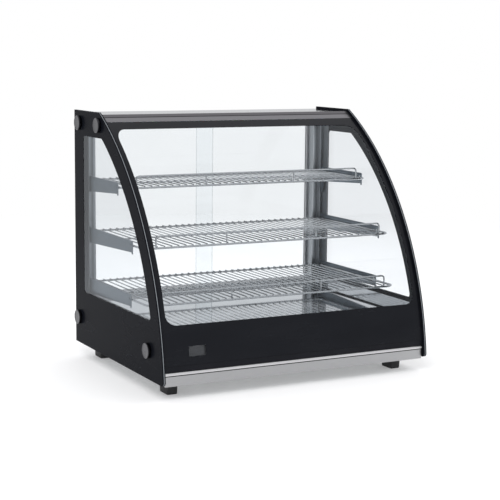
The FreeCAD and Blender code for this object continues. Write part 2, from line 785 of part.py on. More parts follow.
def temperature_display():
    """Tinted lens behind the clear window of the print, and the module behind the lens."""
    middle, reach, gap = D["display_middle"], D["display_half"] + 2, D["fit_gap"] * 2
    lens = new_body("display_lens")
    low, high = D["display_low"] - 2, D["display_high"] + 2
    section = arc_band(GLASS_INNER - gap, GLASS_INNER - gap - D["lens_thick"], low, high)
    pad(lens, "display_lens_pad", "YZ", [section], middle - reach, middle + reach)
    node(lens, "display_lens")
    half = D["display_half"] + D["housing_margin"]
    across = (middle - half, middle + half)
    depth = (D["housing_front"], D["housing_rear"])
    node(block("display_housing", across, depth, (D["housing_low"], D["housing_high"])), "display_module")


# ------------------------------------------------------------------------------------------------------
# Top
# ------------------------------------------------------------------------------------------------------
BAR_TOP = D["frame_top"] + D["bar_rise"]
BAR_LOW = D["front_high"] + 0.3
BAR_SEAT = D["frame_top"] - 0.1


def bar_outline(front):
    """Cross-section of the top front bar, with the points of its face given from the top down."""
    rear, step = D["bar_rear"], D["bar_step"]
    start = [(arc_y(FRONT_OUTER, BAR_LOW), BAR_LOW), (rear, BAR_LOW), (rear, BAR_SEAT), (step, BAR_SEAT)]
    return start + [(step, BAR_TOP)] + front


def top_front_bar():
    """Anodised extrusion over the upper edge of the front glass, with two stripes along its face."""
    body = new_body("top_front_bar")
    split = D["front_high"] + D["bar_split"]
    middle = arc_y(FRONT_OUTER, split)
    step, edge = D["stripe_step"], D["stripe_round"]
    face = [
        (arc_y(FRONT_OUTER, BAR_TOP), BAR_TOP),
        (middle + step - 1, split + edge),
        (middle + step, split),
        (middle + 0.6, split),
    ]
    pad(body, "top_front_bar_pad", "YZ", [bar_outline(face)], -D["bar_half"], D["bar_half"])
    node(body, "top_front_bar")


def top_pieces():
    caps = new_body("bar_cap")
    outline = bar_outline([(arc_y(FRONT_OUTER, BAR_TOP), BAR_TOP)])
    pad(caps, "bar_cap_pad", "YZ", [outline], -INNER + 0.3, -D["bar_half"])
    both_sides("top_bar_end_caps", [caps])

    across = (CLEAR - INNER, D["stud_reach"] - INNER)
    depth = (D["block_front"], D["block_rear"])
    corner = block("corner_block", across, depth, (D["block_low"], D["front_high"]))
    through = (-INNER, D["stud_reach"] - INNER + CLEAR)
    hole = rod("corner_hole", "x", D["stud_radius"] + D["fit_gap"], through, *STUDS[1])
    both_sides("top_corner_blocks", [cut("corner_cut", corner, [hole])])

    half, top = INNER - CLEAR, D["frame_top"]
    depth = (D["bar_step"] + 0.5, D["panel_rear"])
    node(block("top_cover", (-half, half), depth, (top, top + D["cover_thick"])), "top_cover")


def lamp():
    """Lamp channel and tube below the top cover, behind the printed band of the front glass."""
    housing = new_body("lamp_housing")
    top, low = BAR_SEAT, D["frame_top"] - D["lamp_deep"]
    thick, middle = D["lamp_sheet"], D["lamp_plane"]
    front, rear = middle - D["lamp_wide"], middle + D["lamp_wide"]
    profile = [
        (front, low),
        (front + thick, low),
        (front + thick, top - thick),
        (rear - thick, top - thick),
        (rear - thick, low),
        (rear, low),
        (rear, top),
        (front, top),
    ]
    pad(housing, "lamp_housing_pad", "YZ", [profile], -D["lamp_half"], D["lamp_half"])
    node(housing, "lamp_housing")
    tube, radius = D["tube_half"], D["tube_radius"]
    node(rod("lamp_tube", "x", radius, (-tube, tube), middle, low), "lamp_tube")
    outer = CLEAR - D["lamp_half"]
    half = D["lamp_wide"] - 2
    across = (outer, outer + D["holder_thick"])
    end_block = block("lamp_end_block", across, (middle - half, middle + half), (low - 11, top - thick - 0.7))
    bore = rod("lamp_end_bore", "x", radius, (-tube - CLEAR, outer + D["holder_thick"] + CLEAR), middle, low)
    both_sides("lamp_holders", [cut("lamp_end", end_block, [bore])])


# ------------------------------------------------------------------------------------------------------
# Base
# ------------------------------------------------------------------------------------------------------
def base_pan():
    """Folded steel pan: bottom, front upstand, side walls with flanges that carry the floor."""
    t, low, front = D["sheet"], D["foot_high"], D["pan_front"]
    half = INNER - 1
    flange, edge = D["floor_top"] - D["floor_thick"] - D["fit_gap"] * 2, D["pan_flange"]
    body = new_body("base_pan_blank")
    pad(body, "pan_bottom", "XY", [rectangle((-half, half), (front, D["pan_rear"] - 2.5))], low, low + t)
    wall = rectangle((-half, half), (low, D["pan_upstand"]))
    pad(body, "pan_front_wall", "XZ", [wall], front, front + t)
    side = [(-half, low), (t - half, low), (t - half, flange - t), (edge - half, flange - t)]
    side += [(edge - half, flange), (-half, flange)]
    other = [(-x, z) for x, z in reversed(side)]
    pad(body, "pan_sides", "XZ", [side, other], D["pan_front_end"], D["pan_rear_end"])
    low_studs = stud_clearance("pan_stud", INNER - 3, INNER + CLEAR, (3,))
    radius = D["foot_screw"] + D["screw_gap"]
    through = (low - CLEAR, low + t + CLEAR)
    screws = [rod(f"pan_screw_{i}", "z", radius, x, y, through) for i, (x, y) in enumerate(foot_places())]
    node(cut("base_pan", body, low_studs + screws), "base_pan")


def foot_places():
    reach = D["foot_reach"]
    return [(x, y) for x in (-reach, reach) for y in (D["foot_front"], D["foot_rear"])]


def floor_tray():
    """Polished food floor with lips at the front and sides, notched around the rear posts."""
    thick = D["floor_thick"]
    half = INNER - 3
    notch, back, rear = D["post_inner"] - 1, D["pan_rear_end"], D["pan_rear"] - 2
    low, high, top = D["floor_top"] - thick, D["floor_top"], D["floor_top"] + D["floor_lip"]
    front = D["floor_front"]
    outline = [
        (-half, front),
        (half, front),
        (half, back),
        (notch, back),
        (notch, rear),
        (-notch, rear),
        (-notch, back),
        (-half, back),
    ]
    body = new_body("floor_tray")
    pad(body, "floor_plate", "XY", [outline], low, high)
    pad(body, "floor_front_lip", "XZ", [rectangle((-half, half), (low, top))], front, front + thick)
    left = rectangle((-half, thick - half), (front, back))
    right = rectangle((half - thick, half), (front, back))
    pad(body, "floor_side_lips", "XY", [left, right], low, top)
    node(body, "floor_tray")


def feet():
    """Tapered rubber feet, each with a recess for the head of its screw."""
    pads, screws = [], []
    draft, corner, high = D["foot_draft"], D["foot_round"], D["foot_high"]
    recess, shank = D["foot_recess_high"], D["foot_screw"]
    for i, (x, y) in enumerate(foot_places()):
        body = new_body(f"foot_{i}")
        wide, deep = D["foot_wide"] / 2, D["foot_deep"] / 2
        lower = new_sketch(body, f"foot_{i}_lower", "XY", 0)
        draw(lower, rounded_rectangle((draft - wide, wide - draft), (draft - deep, deep - draft), corner))
        upper = new_sketch(body, f"foot_{i}_upper", "XY", high)
        draw(upper, rounded_rectangle((-wide, wide), (-deep, deep), corner))
        loft = body.newObject("PartDesign::AdditiveLoft", f"foot_{i}_loft")
        loft.Profile = lower
        loft.Sections = [upper]
        body.Tip = loft
        pocket(body, f"foot_{i}_recess", "XY", [], 0, recess, [((0, 0), D["foot_recess"])])
        hole = [((0, 0), shank + D["screw_gap"])]
        pocket(body, f"foot_{i}_hole", "XY", [], recess - CLEAR, high + CLEAR, hole)
        pads.append(place(body, x, y, 0))
        stem = rod(f"foot_shank_{i}", "z", shank, x, y, (recess - 2, high + 8))
        head = rod(f"foot_head_{i}", "z", D["screw_head"], x, y, (recess - 5, recess - D["screw_gap"]))
        screws.append(join(f"foot_screw_{i}", [stem, head]))
    node(group("feet", pads), "feet")
    node(group("foot_screws", screws), "foot_screws")


LOUVRE_COLUMNS = (-45.0, 15.0)  # left ends of the two columns of louvres
LOUVRE_LEVELS = (60.0, 72.0, 84.0, 96.0, 108.0, 120.0)


def rear_control_panel():
    """Rear closing panel of the base, with louvres and openings for the controls."""
    back = D["pan_rear"]
    front = back - D["sheet"]
    low, high = D["foot_high"] + D["sheet"] + 0.2, D["floor_top"] - 1.5
    body = new_body("rear_control_panel")
    half = D["post_inner"] - 0.5
    pad(body, "rear_panel_plate", "XZ", [rectangle((-half, half), (low, high))], front, back)
    long, tall = D["louvre_wide"], D["louvre_high"]
    corner = tall / 2 - 0.1
    slots = [
        rounded_rectangle((dim(x), x + long), (dim(z), z + tall), corner)
        for x in LOUVRE_COLUMNS
        for z in LOUVRE_LEVELS
    ]
    pocket(body, "louvre_slots", "XZ", slots, front, back)
    level, wide, tall = D["knob_level"], D["rocker_wide"] + 0.1, D["rocker_high"] + 0.1
    openings = [
        rectangle((place_x - wide, place_x + wide), (level - tall, level + tall))
        for place_x in (D["power_place"], D["lamp_place"])
    ]
    knob_hole = ((D["knob_place"], level), D["shaft_radius"] + 2)
    gland_hole = ((D["gland_place"], D["gland_level"]), D["gland_neck"] + 0.1)
    pocket(body, "control_openings", "XZ", openings, front, back, [knob_hole, gland_hole])
    node(body, "rear_control_panel")


# ------------------------------------------------------------------------------------------------------
# Rear frame and doors
# ------------------------------------------------------------------------------------------------------
SLOT_COUNT = 14
STANDARD_GAP = D["fit_gap"] * 2


def slot_levels():
    """Slots in step with the bracket hooks, from below the lowest one to above the highest one."""
    first = D["bracket_low"] - D["hook_drop"] - D["slot_pitch"]
    return [first + D["slot_pitch"] * i for i in range(SLOT_COUNT)]


def rear_posts():
    """Hollow posts with a flange, a gap in the front wall for the hooks, and a slotted standard over it."""
    t = D["sheet"]
    inner, outer = -D["post_inner"], -D["post_inner"] - D["post_wide"]
    front, rear = D["post_front"], D["panel_rear"]
    low, high = D["foot_high"] + t, D["frame_top"]
    body = new_body("left_post_blank")
    ring = rectangle((outer, inner), (front, rear))
    hollow = rectangle((outer + t, inner - t), (front + t, rear - t))
    pad(body, "left_post_pad", "XY", [ring, hollow], low, high)
    flange = rectangle((outer - t, outer), (D["post_flange_front"], rear))
    pad(body, "left_post_flange", "XY", [flange], D["post_flange_low"], high)
    plane, gap = -D["bracket_plane"], D["gap_half"]
    opening = rectangle((plane - gap, plane + gap), (D["standard_low"], D["standard_high"] - 3))
    pocket(body, "left_post_gap", "XZ", [opening], front, front + t)
    holes = stud_clearance("post_stud", D["post_inner"] + t * 2, D["case_half"], (0, 2))
    post = node(cut("left_rear_post", body, holes), "left_rear_post")
    node(mirrored("right_rear_post", post), "right_rear_post")

    strip = new_body("shelf_standard")
    back = D["post_front"] - STANDARD_GAP
    face = back - D["standard_thick"]
    across = (plane - D["standard_outer"], plane + D["standard_inner"])
    outline = rectangle(across, (D["standard_low"], D["standard_high"]))
    pad(strip, "left_standard_pad", "XZ", [outline], face, back)
    half, reach = D["slot_half"], D["slot_reach"]
    slots = [rectangle((plane - half, plane + half), (z - reach, z + reach)) for z in slot_levels()]
    pocket(strip, "left_standard_slots", "XZ", slots, face, back)
    both_sides("shelf_standards", [strip])


def door_tracks():
    """Twin grooves for the two sliding doors, at the floor and below the top cover."""
    half = D["post_inner"] - 0.2
    g = D["groove_half"]
    front, rear = D["track_front"], D["track_rear"]
    for name, floor, rim, sign in (
        ("door_track_bottom", D["floor_top"] + 0.2, D["floor_top"] + D["low_track"], 1),
        ("door_track_top", D["frame_top"], D["high_track"], -1),
    ):
        web = floor + D["track_floor"] * sign
        profile = [
            (front, floor),
            (rear, floor),
            (rear, rim),
            (D["outer_door"] + g, rim),
            (D["outer_door"] + g, web),
            (D["outer_door"] - g, web),
            (D["outer_door"] - g, rim),
            (D["inner_door"] + g, rim),
            (D["inner_door"] + g, web),
            (D["inner_door"] - g, web),
            (D["inner_door"] - g, rim),
            (front, rim),
        ]
        body = new_body(name)
        pad(body, name + "_pad", "YZ", [profile], -half, half)
        node(body, name)


def door(name, plane, side):
    """A sliding glass door: side is -1 for the left door and +1 for the right door."""
    far = (D["post_inner"] - 0.5) * side
    edge = far - D["pull_wall"] * side
    lip = far - D["pull_wide"] * side
    near = -D["door_overlap"] * side

    def span(start, end):
        return (start, end) if side < 0 else (end, start)

    left, right = span(edge, near)
    half, deep = D["door_thick"] / 2, D["pull_half"]
    glass = block(name + "_glass", (left, right), (plane - half, plane + half), (D["door_low"], D["door_high"]))
    node(glass, name + "_glass")
    low, high = D["pull_low"], D["pull_high"]
    pull = block(name + "_pull_blank", span(far, lip), (plane - deep, plane + deep), (low, high))
    gap = half + D["fit_gap"]
    groove = block(
        name + "_pull_slot", span(edge, lip), (plane - gap, plane + gap), (low - CLEAR, high + CLEAR)
    )
    node(cut(name + "_pull", pull, [groove]), name + "_pull")
    glides = []
    reach, deep = D["glide_half"], D["glide_deep"]
    level = (D["floor_top"] + D["track_floor"] + 0.4, D["door_low"] - D["fit_gap"])
    for share in (0.12, 0.88):
        centre = left + (right - left) * share
        across = (centre - reach, centre + reach)
        glides.append(block(f"{name}_glide_{len(glides)}", across, (plane - deep, plane + deep), level))
    node(group(name + "_glides", glides), name + "_glides")


# ------------------------------------------------------------------------------------------------------
# Shelves and brackets
# ------------------------------------------------------------------------------------------------------
def bracket(name, row, tip, height, hook_step):
    """Sheet steel bracket: tapered arm, hooks in the standard and a ledge for the shelf frame."""
    top, tip = D["bracket_low"] + D["bracket_pitch"] * row, dim(tip)
    plane, half = -D["bracket_plane"], D["bracket_thick"] / 2
    face = D["post_front"] - STANDARD_GAP * 2 - D["standard_thick"]
    left, right = plane - half, plane + half
    arm, end = D["bracket_arm"], D["bracket_end"]
    body = new_body(name + "_arm")
    outline = [
        (face, top),
        (face, top - height),
        (face - 9, top - height),
        (face - 16, top - arm - 3),
        (face - 22, top - arm),
        (tip + 4, top - end - 2),
        (tip + 4, top - end - 6),
        (tip, top - end - 6),
        (tip, top - 3),
        (tip + 3, top),
    ]
    pad(body, name + "_plate", "YZ", [outline], left, right)
    radius = D["bracket_hole"]
    holes = [((face - 13, top - 9), radius), ((tip + 9, top - 10), radius)]
    pocket(body, name + "_holes", "YZ", [], left, right, holes)
    level = top - D["shelf_drop"] - D["frame_wire"]
    ledge = rectangle((right - half, right + D["ledge_wide"]), (level - D["ledge_thick"], level))
    pad(body, name + "_ledge", "XZ", [ledge], tip + 14, D["shelf_rear"] - 4)
    pieces = [body]
    depth, tall = D["hook_depth"], D["hook_half"]
    for i in range(2):
        centre = top - D["hook_drop"] - D["slot_pitch"] * i * hook_step
        level = (centre - tall, centre + tall)
        hook = block(f"{name}_hook_{i}", (left, right), (face - 1, face + depth), level)
        fall = (centre - D["hook_lip"], centre - tall + 1)
        pieces += [hook, block(f"{name}_lip_{i}", (left, right), (face + depth - 2.4, face + depth), fall)]
    both_sides(name + "_shelf_brackets", [join(name + "_bracket", pieces)])


def shelf_deck(name, row, front):
    """Welded wire deck: a round-cornered frame, a cross wire at half depth and deck wires on top."""
    level = D["bracket_low"] + D["bracket_pitch"] * row - D["shelf_drop"]
    half, rear = D["shelf_half"], D["shelf_rear"]
    front = dim(front)
    body = new_body(name + "_shelf_deck")
    bend = D["shelf_round"]
    # the path starts in the middle of the left side, where the round profile stands square to it
    corners = rounded_rectangle((-half, half), (front, rear), bend)
    middle = (front + rear) / 2
    path = [(-half, middle)] + corners[7:] + corners[:7]
    profile_at = (-half, level)
    pipe(body, name + "_frame", "XY", path, level, True, "XZ", middle, profile_at, D["frame_wire"])

    first = D["wire_pitch"] * (D["wire_count"] - 1) / 2
    lift = level + D["frame_wire"] + D["deck_wire"] - D["weld"]
    sketch = new_sketch(body, name + "_wire_sketch", "XZ", rear)
    draw_circle(sketch, (-first, lift), D["deck_wire"])
    wire = body.newObject("PartDesign::Pad", name + "_wire")
    wire.Profile = sketch
    bind(wire, "Length", rear - front)
    body.Tip = wire
    line_of(body, name + "_wires", wire, "H_Axis", first * 2, D["wire_count"])

    sketch = new_sketch(body, name + "_cross_sketch", "YZ", -half)
    draw_circle(sketch, (middle, level + D["frame_wire"] - D["cross_wire"]), D["cross_wire"])
    cross = body.newObject("PartDesign::Pad", name + "_crosses")
    cross.Profile = sketch
    cross.Refine = False
    bind(cross, "Length", half * 2)
    body.Tip = cross
    node(body, name + "_shelf_deck")


def guard_rail(name, row, front):
    """Bent wire rail along the front of a shelf, with two props."""
    level = D["bracket_low"] + D["bracket_pitch"] * row - D["shelf_drop"]
    foot = level + D["frame_wire"] + D["fit_gap"]
    high = level + D["rail_high"]
    half, bend = D["rail_half"], D["rail_bend"]
    body = new_body(name + "_guard_rail")
    path = [
        (-half, foot),
        (-half, high - bend, (bend, (bend - half, high - bend), False)),
        (bend - half, high),
        (half - bend, high, (bend, (half - bend, high - bend), False)),
        (half, high - bend),
        (half, foot),
    ]
    pipe(body, name + "_rail", "XZ", path, front, False, "XY", foot, (-half, front), D["cross_wire"])
    sketch = new_sketch(body, name + "_prop_sketch", "XY", foot)
    for x in (-D["rail_prop"], D["rail_prop"]):
        draw_circle(sketch, (x, front), D["prop_wire"])
    props = body.newObject("PartDesign::Pad", name + "_props")
    props.Profile = sketch
    bind(props, "Length", high - foot)
    body.Tip = props
    node(body, name + "_guard_rail")


# ------------------------------------------------------------------------------------------------------
# Heating and controls
# ------------------------------------------------------------------------------------------------------
HEATER_SUPPORTS = (-100.0, 20.0)


def heater():
    """Tubular heating element in the base, on two steel supports."""
    level, radius, bend = D["heater_level"], D["heater_radius"], D["heater_bend"]
    rear, front, turn = D["heater_rear"], D["heater_front"], D["heater_turn"]
    body = new_body("heater_element")
    path = [(-bend * 3, rear)]
    for x, y, rise in ((-3, front, -1), (-1, turn, 1), (1, front, -1)):
        path += hairpin((bend * x, y), bend, rise)
    path.append((bend * 3, rear))
    pipe(body, "heater_tube", "XY", path, level, False, "XZ", rear, (-bend * 3, level), radius)
    node(body, "heater_element")
    supports = []
    half, foot = bend * 3.5, D["foot_high"] + D["sheet"]
    for i, y in enumerate(HEATER_SUPPORTS):
        plate = block(f"heater_support_{i}", (-half, half), (y, y + 2), (foot, level + radius + 2))
        depth = (y - CLEAR, y + 2 + CLEAR)
        holes = [rod(f"heater_hole_{i}_{x}", "y", radius + 0.3, bend * x, depth, level) for x in (-3, -1, 1, 3)]
        supports.append(cut(f"heater_plate_{i}", plate, holes))
    node(group("heater_supports", supports), "heater_supports")


def thermostat():
    """Thermostat in the base: body, shaft, knob, and the capillary bulb below the food floor."""
    x, z = D["knob_place"], D["knob_level"]
    back, rear = D["pan_rear"] - D["sheet"] - 0.2, D["depth_half"]
    radius, half, deep = D["shaft_radius"], 20, 30
    case = block("thermostat_case", (x - half, x + half), (back - deep, back), (z - half, z + half))
    neck = rod("thermostat_neck", "y", radius + 1.8, x, (back - 1, back + 1.6), z)
    bore = rod("thermostat_bore", "y", radius + D["fit_gap"], x, (back - 22, back + 2), z)
    housing = join("thermostat_housing", [case, neck])
    node(cut("thermostat_body", housing, [bore]), "thermostat_body")
    blind = 8
    node(rod("thermostat_shaft", "y", radius, x, (back - 20, rear - blind), z), "thermostat_shaft")

    knob = new_body("thermostat_knob")
    sketch = new_sketch(knob, "knob_sketch", "XY")
    near, skirt, grip = D["knob_front"] - rear, D["knob_radius"], D["knob_grip"]
    # turned about the sketch's vertical axis: skirt, waist and a gripping drum with a blind bore
    profile = [
        (radius, near),
        (skirt, near),
        (skirt, near + 3),
        (grip + 1, near + 6),
        (grip, -1),
        (grip - 1, 0),
        (0, 0),
        (0, -blind),
        (radius, -blind),
    ]
    draw(sketch, profile)
    turned = knob.newObject("PartDesign::Revolution", "knob_turned")
    turned.Profile = sketch
    turned.ReferenceAxis = (sketch, ["V_Axis"])
    turned.Angle = 360
    knob.Tip = turned
    pocket(knob, "knob_pointer", "XZ", [rectangle((-1, 1), (6, grip + 2))], -2, CLEAR)
    node(place(knob, x, rear, z), "thermostat_knob")

    bulb_x, bulb_y, bulb_z = x + 30, D["heater_turn"], D["floor_top"] - 17
    bulb = rod("bulb_tube", "x", 3, (bulb_x - 10, bulb_x + 60), bulb_y, bulb_z)
    capillary = rod("capillary", "y", 1, bulb_x, (bulb_y, back - deep - 1), bulb_z)
    drop = rod("capillary_drop", "z", 1, bulb_x, back - deep - 1, (z, bulb_z + 1))
    node(join("thermostat_bulb", [bulb, capillary, drop]), "thermostat_bulb")


def rocker_switch(name, x):
    """Snap-in rocker switch: bezel with its housing, and the rocker that tips inside it."""
    z, back = D["knob_level"], D["pan_rear"]
    wide, tall, rim = D["rocker_wide"], D["rocker_high"], D["bezel"]

    def shell(part, inset, depth):
        half_x, half_z = wide - inset, tall - inset
        return block(f"{name}_{part}", (x - half_x, x + half_x), depth, (z - half_z, z + half_z))

    bezel = shell("bezel", -rim, (back, back + rim))
    case = shell("case", 0, (back - 20, back + 1))
    well = shell("well", 1.5, (back - 9, back + rim + CLEAR))
    frame = cut(name + "_switch_frame", join(name + "_shell", [bezel, case]), [well])
    node(frame, name + "_switch_frame")
    rocker = new_body(name + "_rocker")
    # seen from the side: a shallow V outside, a rounded belly inside
    profile = [
        (1.5, 0),
        (3.2, 8.4),
        (-2.0, 8.6),
        (-5.5, 3.5),
        (-5.5, -3.5),
        (-2.0, -8.6),
        (3.2, -8.4),
    ]
    half = wide - 1.7
    pad(rocker, name + "_rocker_pad", "YZ", [profile], -half, half)
    node(place(rocker, x, back, z), name + "_rocker")


COIL_TURNS = 2


def power_cord():
    """Cord from the gland, wound in a flat tied coil behind the base, with a plug at its end."""
    x, z, radius = D["gland_place"], D["gland_level"], D["cord_radius"]
    back, plane, corner = D["pan_rear"], D["cord_plane"], dim(10)
    start = back - 17.5
    body = new_body("power_cord")
    bow = (corner, (x - corner, plane - corner), True)
    exit_path = [(x, start), (x, plane - corner, bow), (x - corner, plane)]
    pipe(body, "cord_exit", "XY", exit_path, z, False, "XZ", start, (x, z), radius)

    left, right, step = D["coil_left"], D["coil_right"], D["coil_step"]
    bend = D["coil_bend"]
    path = [(x - corner, z)]
    level = z
    for turn in range(COIL_TURNS):
        path += half_turn((left, level), bend, -1, 1)
        level = level + bend * 2
        bend = bend + step / 2
        path += half_turn((right, level), bend, 1, -1)
        level = level - bend * 2
        bend = bend + step / 2
    end = left - 30
    path.append((end, level))
    pipe(body, "cord_coil", "XZ", path, plane, False, "YZ", x - corner, (plane, z), radius)
    node(body, "power_cord")

    nut = rod("gland_nut", "y", D["gland_nut"], x, (back, back + 5), z)
    neck = rod("gland_neck", "y", D["gland_neck"], x, (back - 10, back + CLEAR), z)
    bore = rod("gland_bore", "y", D["gland_bore"], x, (back - 10 - CLEAR, back + 5 + CLEAR), z)
    node(cut("cord_gland", join("gland_solid", [nut, neck]), [bore]), "cord_gland")

    neck = rod("plug_neck", "x", 6, (end - 12, end), plane, level)
    front = end - 11 - D["plug_long"]
    pieces = [rod("plug_head", "x", D["plug_radius"], (front, end - 11), plane, level), neck]
    for i, side in enumerate((-1, 1)):
        height = level + D["pin_half"] * side
        pieces.append(rod(f"plug_pin_{i}", "x", D["plug_pin"], (front - 19, front + 1), plane, height))
    node(join("power_plug", pieces), "power_plug")

    wall, reach = dim(1.2), radius + 0.3
    strands = z + D["coil_bend"] * 2
    low, high = strands - reach, strands + step + reach
    front, rear = plane - reach, plane + reach
    tie = (left + right) / 2
    band = block("tie_outer", (tie - 2, tie + 2), (front - wall, rear + wall), (low - wall, high + wall))
    hollow = block("tie_inner", (tie - 3, tie + 3), (front, rear), (low, high))
    node(cut("cord_tie", band, [hollow]), "cord_tie")


# ------------------------------------------------------------------------------------------------------
# Build, check and write
# ------------------------------------------------------------------------------------------------------
def build():
    side_panels()
    studs()
    front_glass()
    front_glass_channel()
    front_trim()
    temperature_display()
    top_front_bar()
    top_pieces()
    lamp()
    base_pan()
    floor_tray()
    feet()
    rear_control_panel()
    rear_posts()
    door_tracks()
    door("left_door", D["inner_door"], -1)
    door("right_door", D["outer_door"], 1)
    for name, (row, front, tip, height, hook_step) in SHELVES.items():
        bracket(name, row, tip, D[height], hook_step)
        shelf_deck(name, row, front)
        guard_rail(name, row, front)
    heater()
    thermostat()
    rocker_switch("power", D["power_place"])
    rocker_switch("lamp", D["lamp_place"])
    power_cord()
    doc.recompute()


def write():
    for item in doc.Objects:
        if "Invalid" in item.State or "Error" in item.State:
            raise RuntimeError(f"{item.Label} failed: {item.State}")
    for item in NODES:
        if item.Shape.isNull() or not item.Shape.isValid():
            raise RuntimeError(f"{item.Label} has no valid shape")
    os.makedirs("parts", exist_ok=True)
    for item in NODES:
        item.Shape.exportStep(f"parts/{item.Label}.step")
        box = item.Shape.BoundBox
        print(
            f"{item.Label:24s} solids {len(item.Shape.Solids):2d}  volume {item.Shape.Volume / 1000:9.2f} cm3"
            f"  x {box.XMin:7.1f} {box.XMax:7.1f}  y {box.YMin:7.1f} {box.YMax:7.1f}"
            f"  z {box.ZMin:6.1f} {box.ZMax:6.1f}"
        )
    print(len(NODES), "nodes")


build()
write()
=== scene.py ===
import json
import math

import bmesh
import bpy
from mathutils import Matrix, Vector

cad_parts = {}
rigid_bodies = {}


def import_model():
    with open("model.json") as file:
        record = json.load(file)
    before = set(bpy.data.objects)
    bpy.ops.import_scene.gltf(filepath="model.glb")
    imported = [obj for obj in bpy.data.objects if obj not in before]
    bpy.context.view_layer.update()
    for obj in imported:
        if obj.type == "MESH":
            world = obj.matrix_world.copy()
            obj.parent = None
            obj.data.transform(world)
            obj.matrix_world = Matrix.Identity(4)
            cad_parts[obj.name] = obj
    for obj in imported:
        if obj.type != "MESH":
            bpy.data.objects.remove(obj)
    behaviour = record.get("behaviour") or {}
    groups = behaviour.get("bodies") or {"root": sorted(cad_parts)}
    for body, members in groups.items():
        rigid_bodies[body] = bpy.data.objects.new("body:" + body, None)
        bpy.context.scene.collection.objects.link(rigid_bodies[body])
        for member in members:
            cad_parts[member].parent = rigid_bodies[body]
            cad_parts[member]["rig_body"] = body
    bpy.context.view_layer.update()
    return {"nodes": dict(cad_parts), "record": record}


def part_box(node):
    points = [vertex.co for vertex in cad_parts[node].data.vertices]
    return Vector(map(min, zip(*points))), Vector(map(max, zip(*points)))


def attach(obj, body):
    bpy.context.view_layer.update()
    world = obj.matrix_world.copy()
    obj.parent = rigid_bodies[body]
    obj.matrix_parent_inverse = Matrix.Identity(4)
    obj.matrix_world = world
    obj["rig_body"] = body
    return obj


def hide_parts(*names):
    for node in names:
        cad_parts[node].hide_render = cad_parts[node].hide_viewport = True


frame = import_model()
NODES = frame["nodes"]
MM = 0.001

# Sizes that the frame's boxes don't give, in metres
FRAME_WIRE = 2.5 * MM
DECK_WIRE = 1.5 * MM
CROSS_WIRE = 2.0 * MM
PROP_WIRE = 1.6 * MM
WELD = 0.4 * MM
WIRE_PITCH = 18 * MM
WIRE_COUNT = 36
SHELF_ROUND = 22 * MM
RAIL_BEND = 8 * MM
RAIL_PROP = 120.5 * MM
CAP_RADIUS = 18 * MM
CAP_PROUD = 8 * MM
CORD_RADIUS = 3.7 * MM
ARRIS_HIGHLIGHT_SPAN = (345.6 * MM, 347.2 * MM)   # the middle of a side pane's edge, where a light line is painted as a highlight
SMOOTH_ANGLE = math.radians(35)
ON_AXIS = 0.001 * MM                    # stands for zero where a turned profile meets its axis
ALONG_X = (0.02, 1, 1)                  # stretches of the grain along each axis, or along none
ALONG_Y = (1, 0.02, 1)
ALONG_Z = (1, 1, 0.02)
NO_GRAIN = (1, 1, 1)


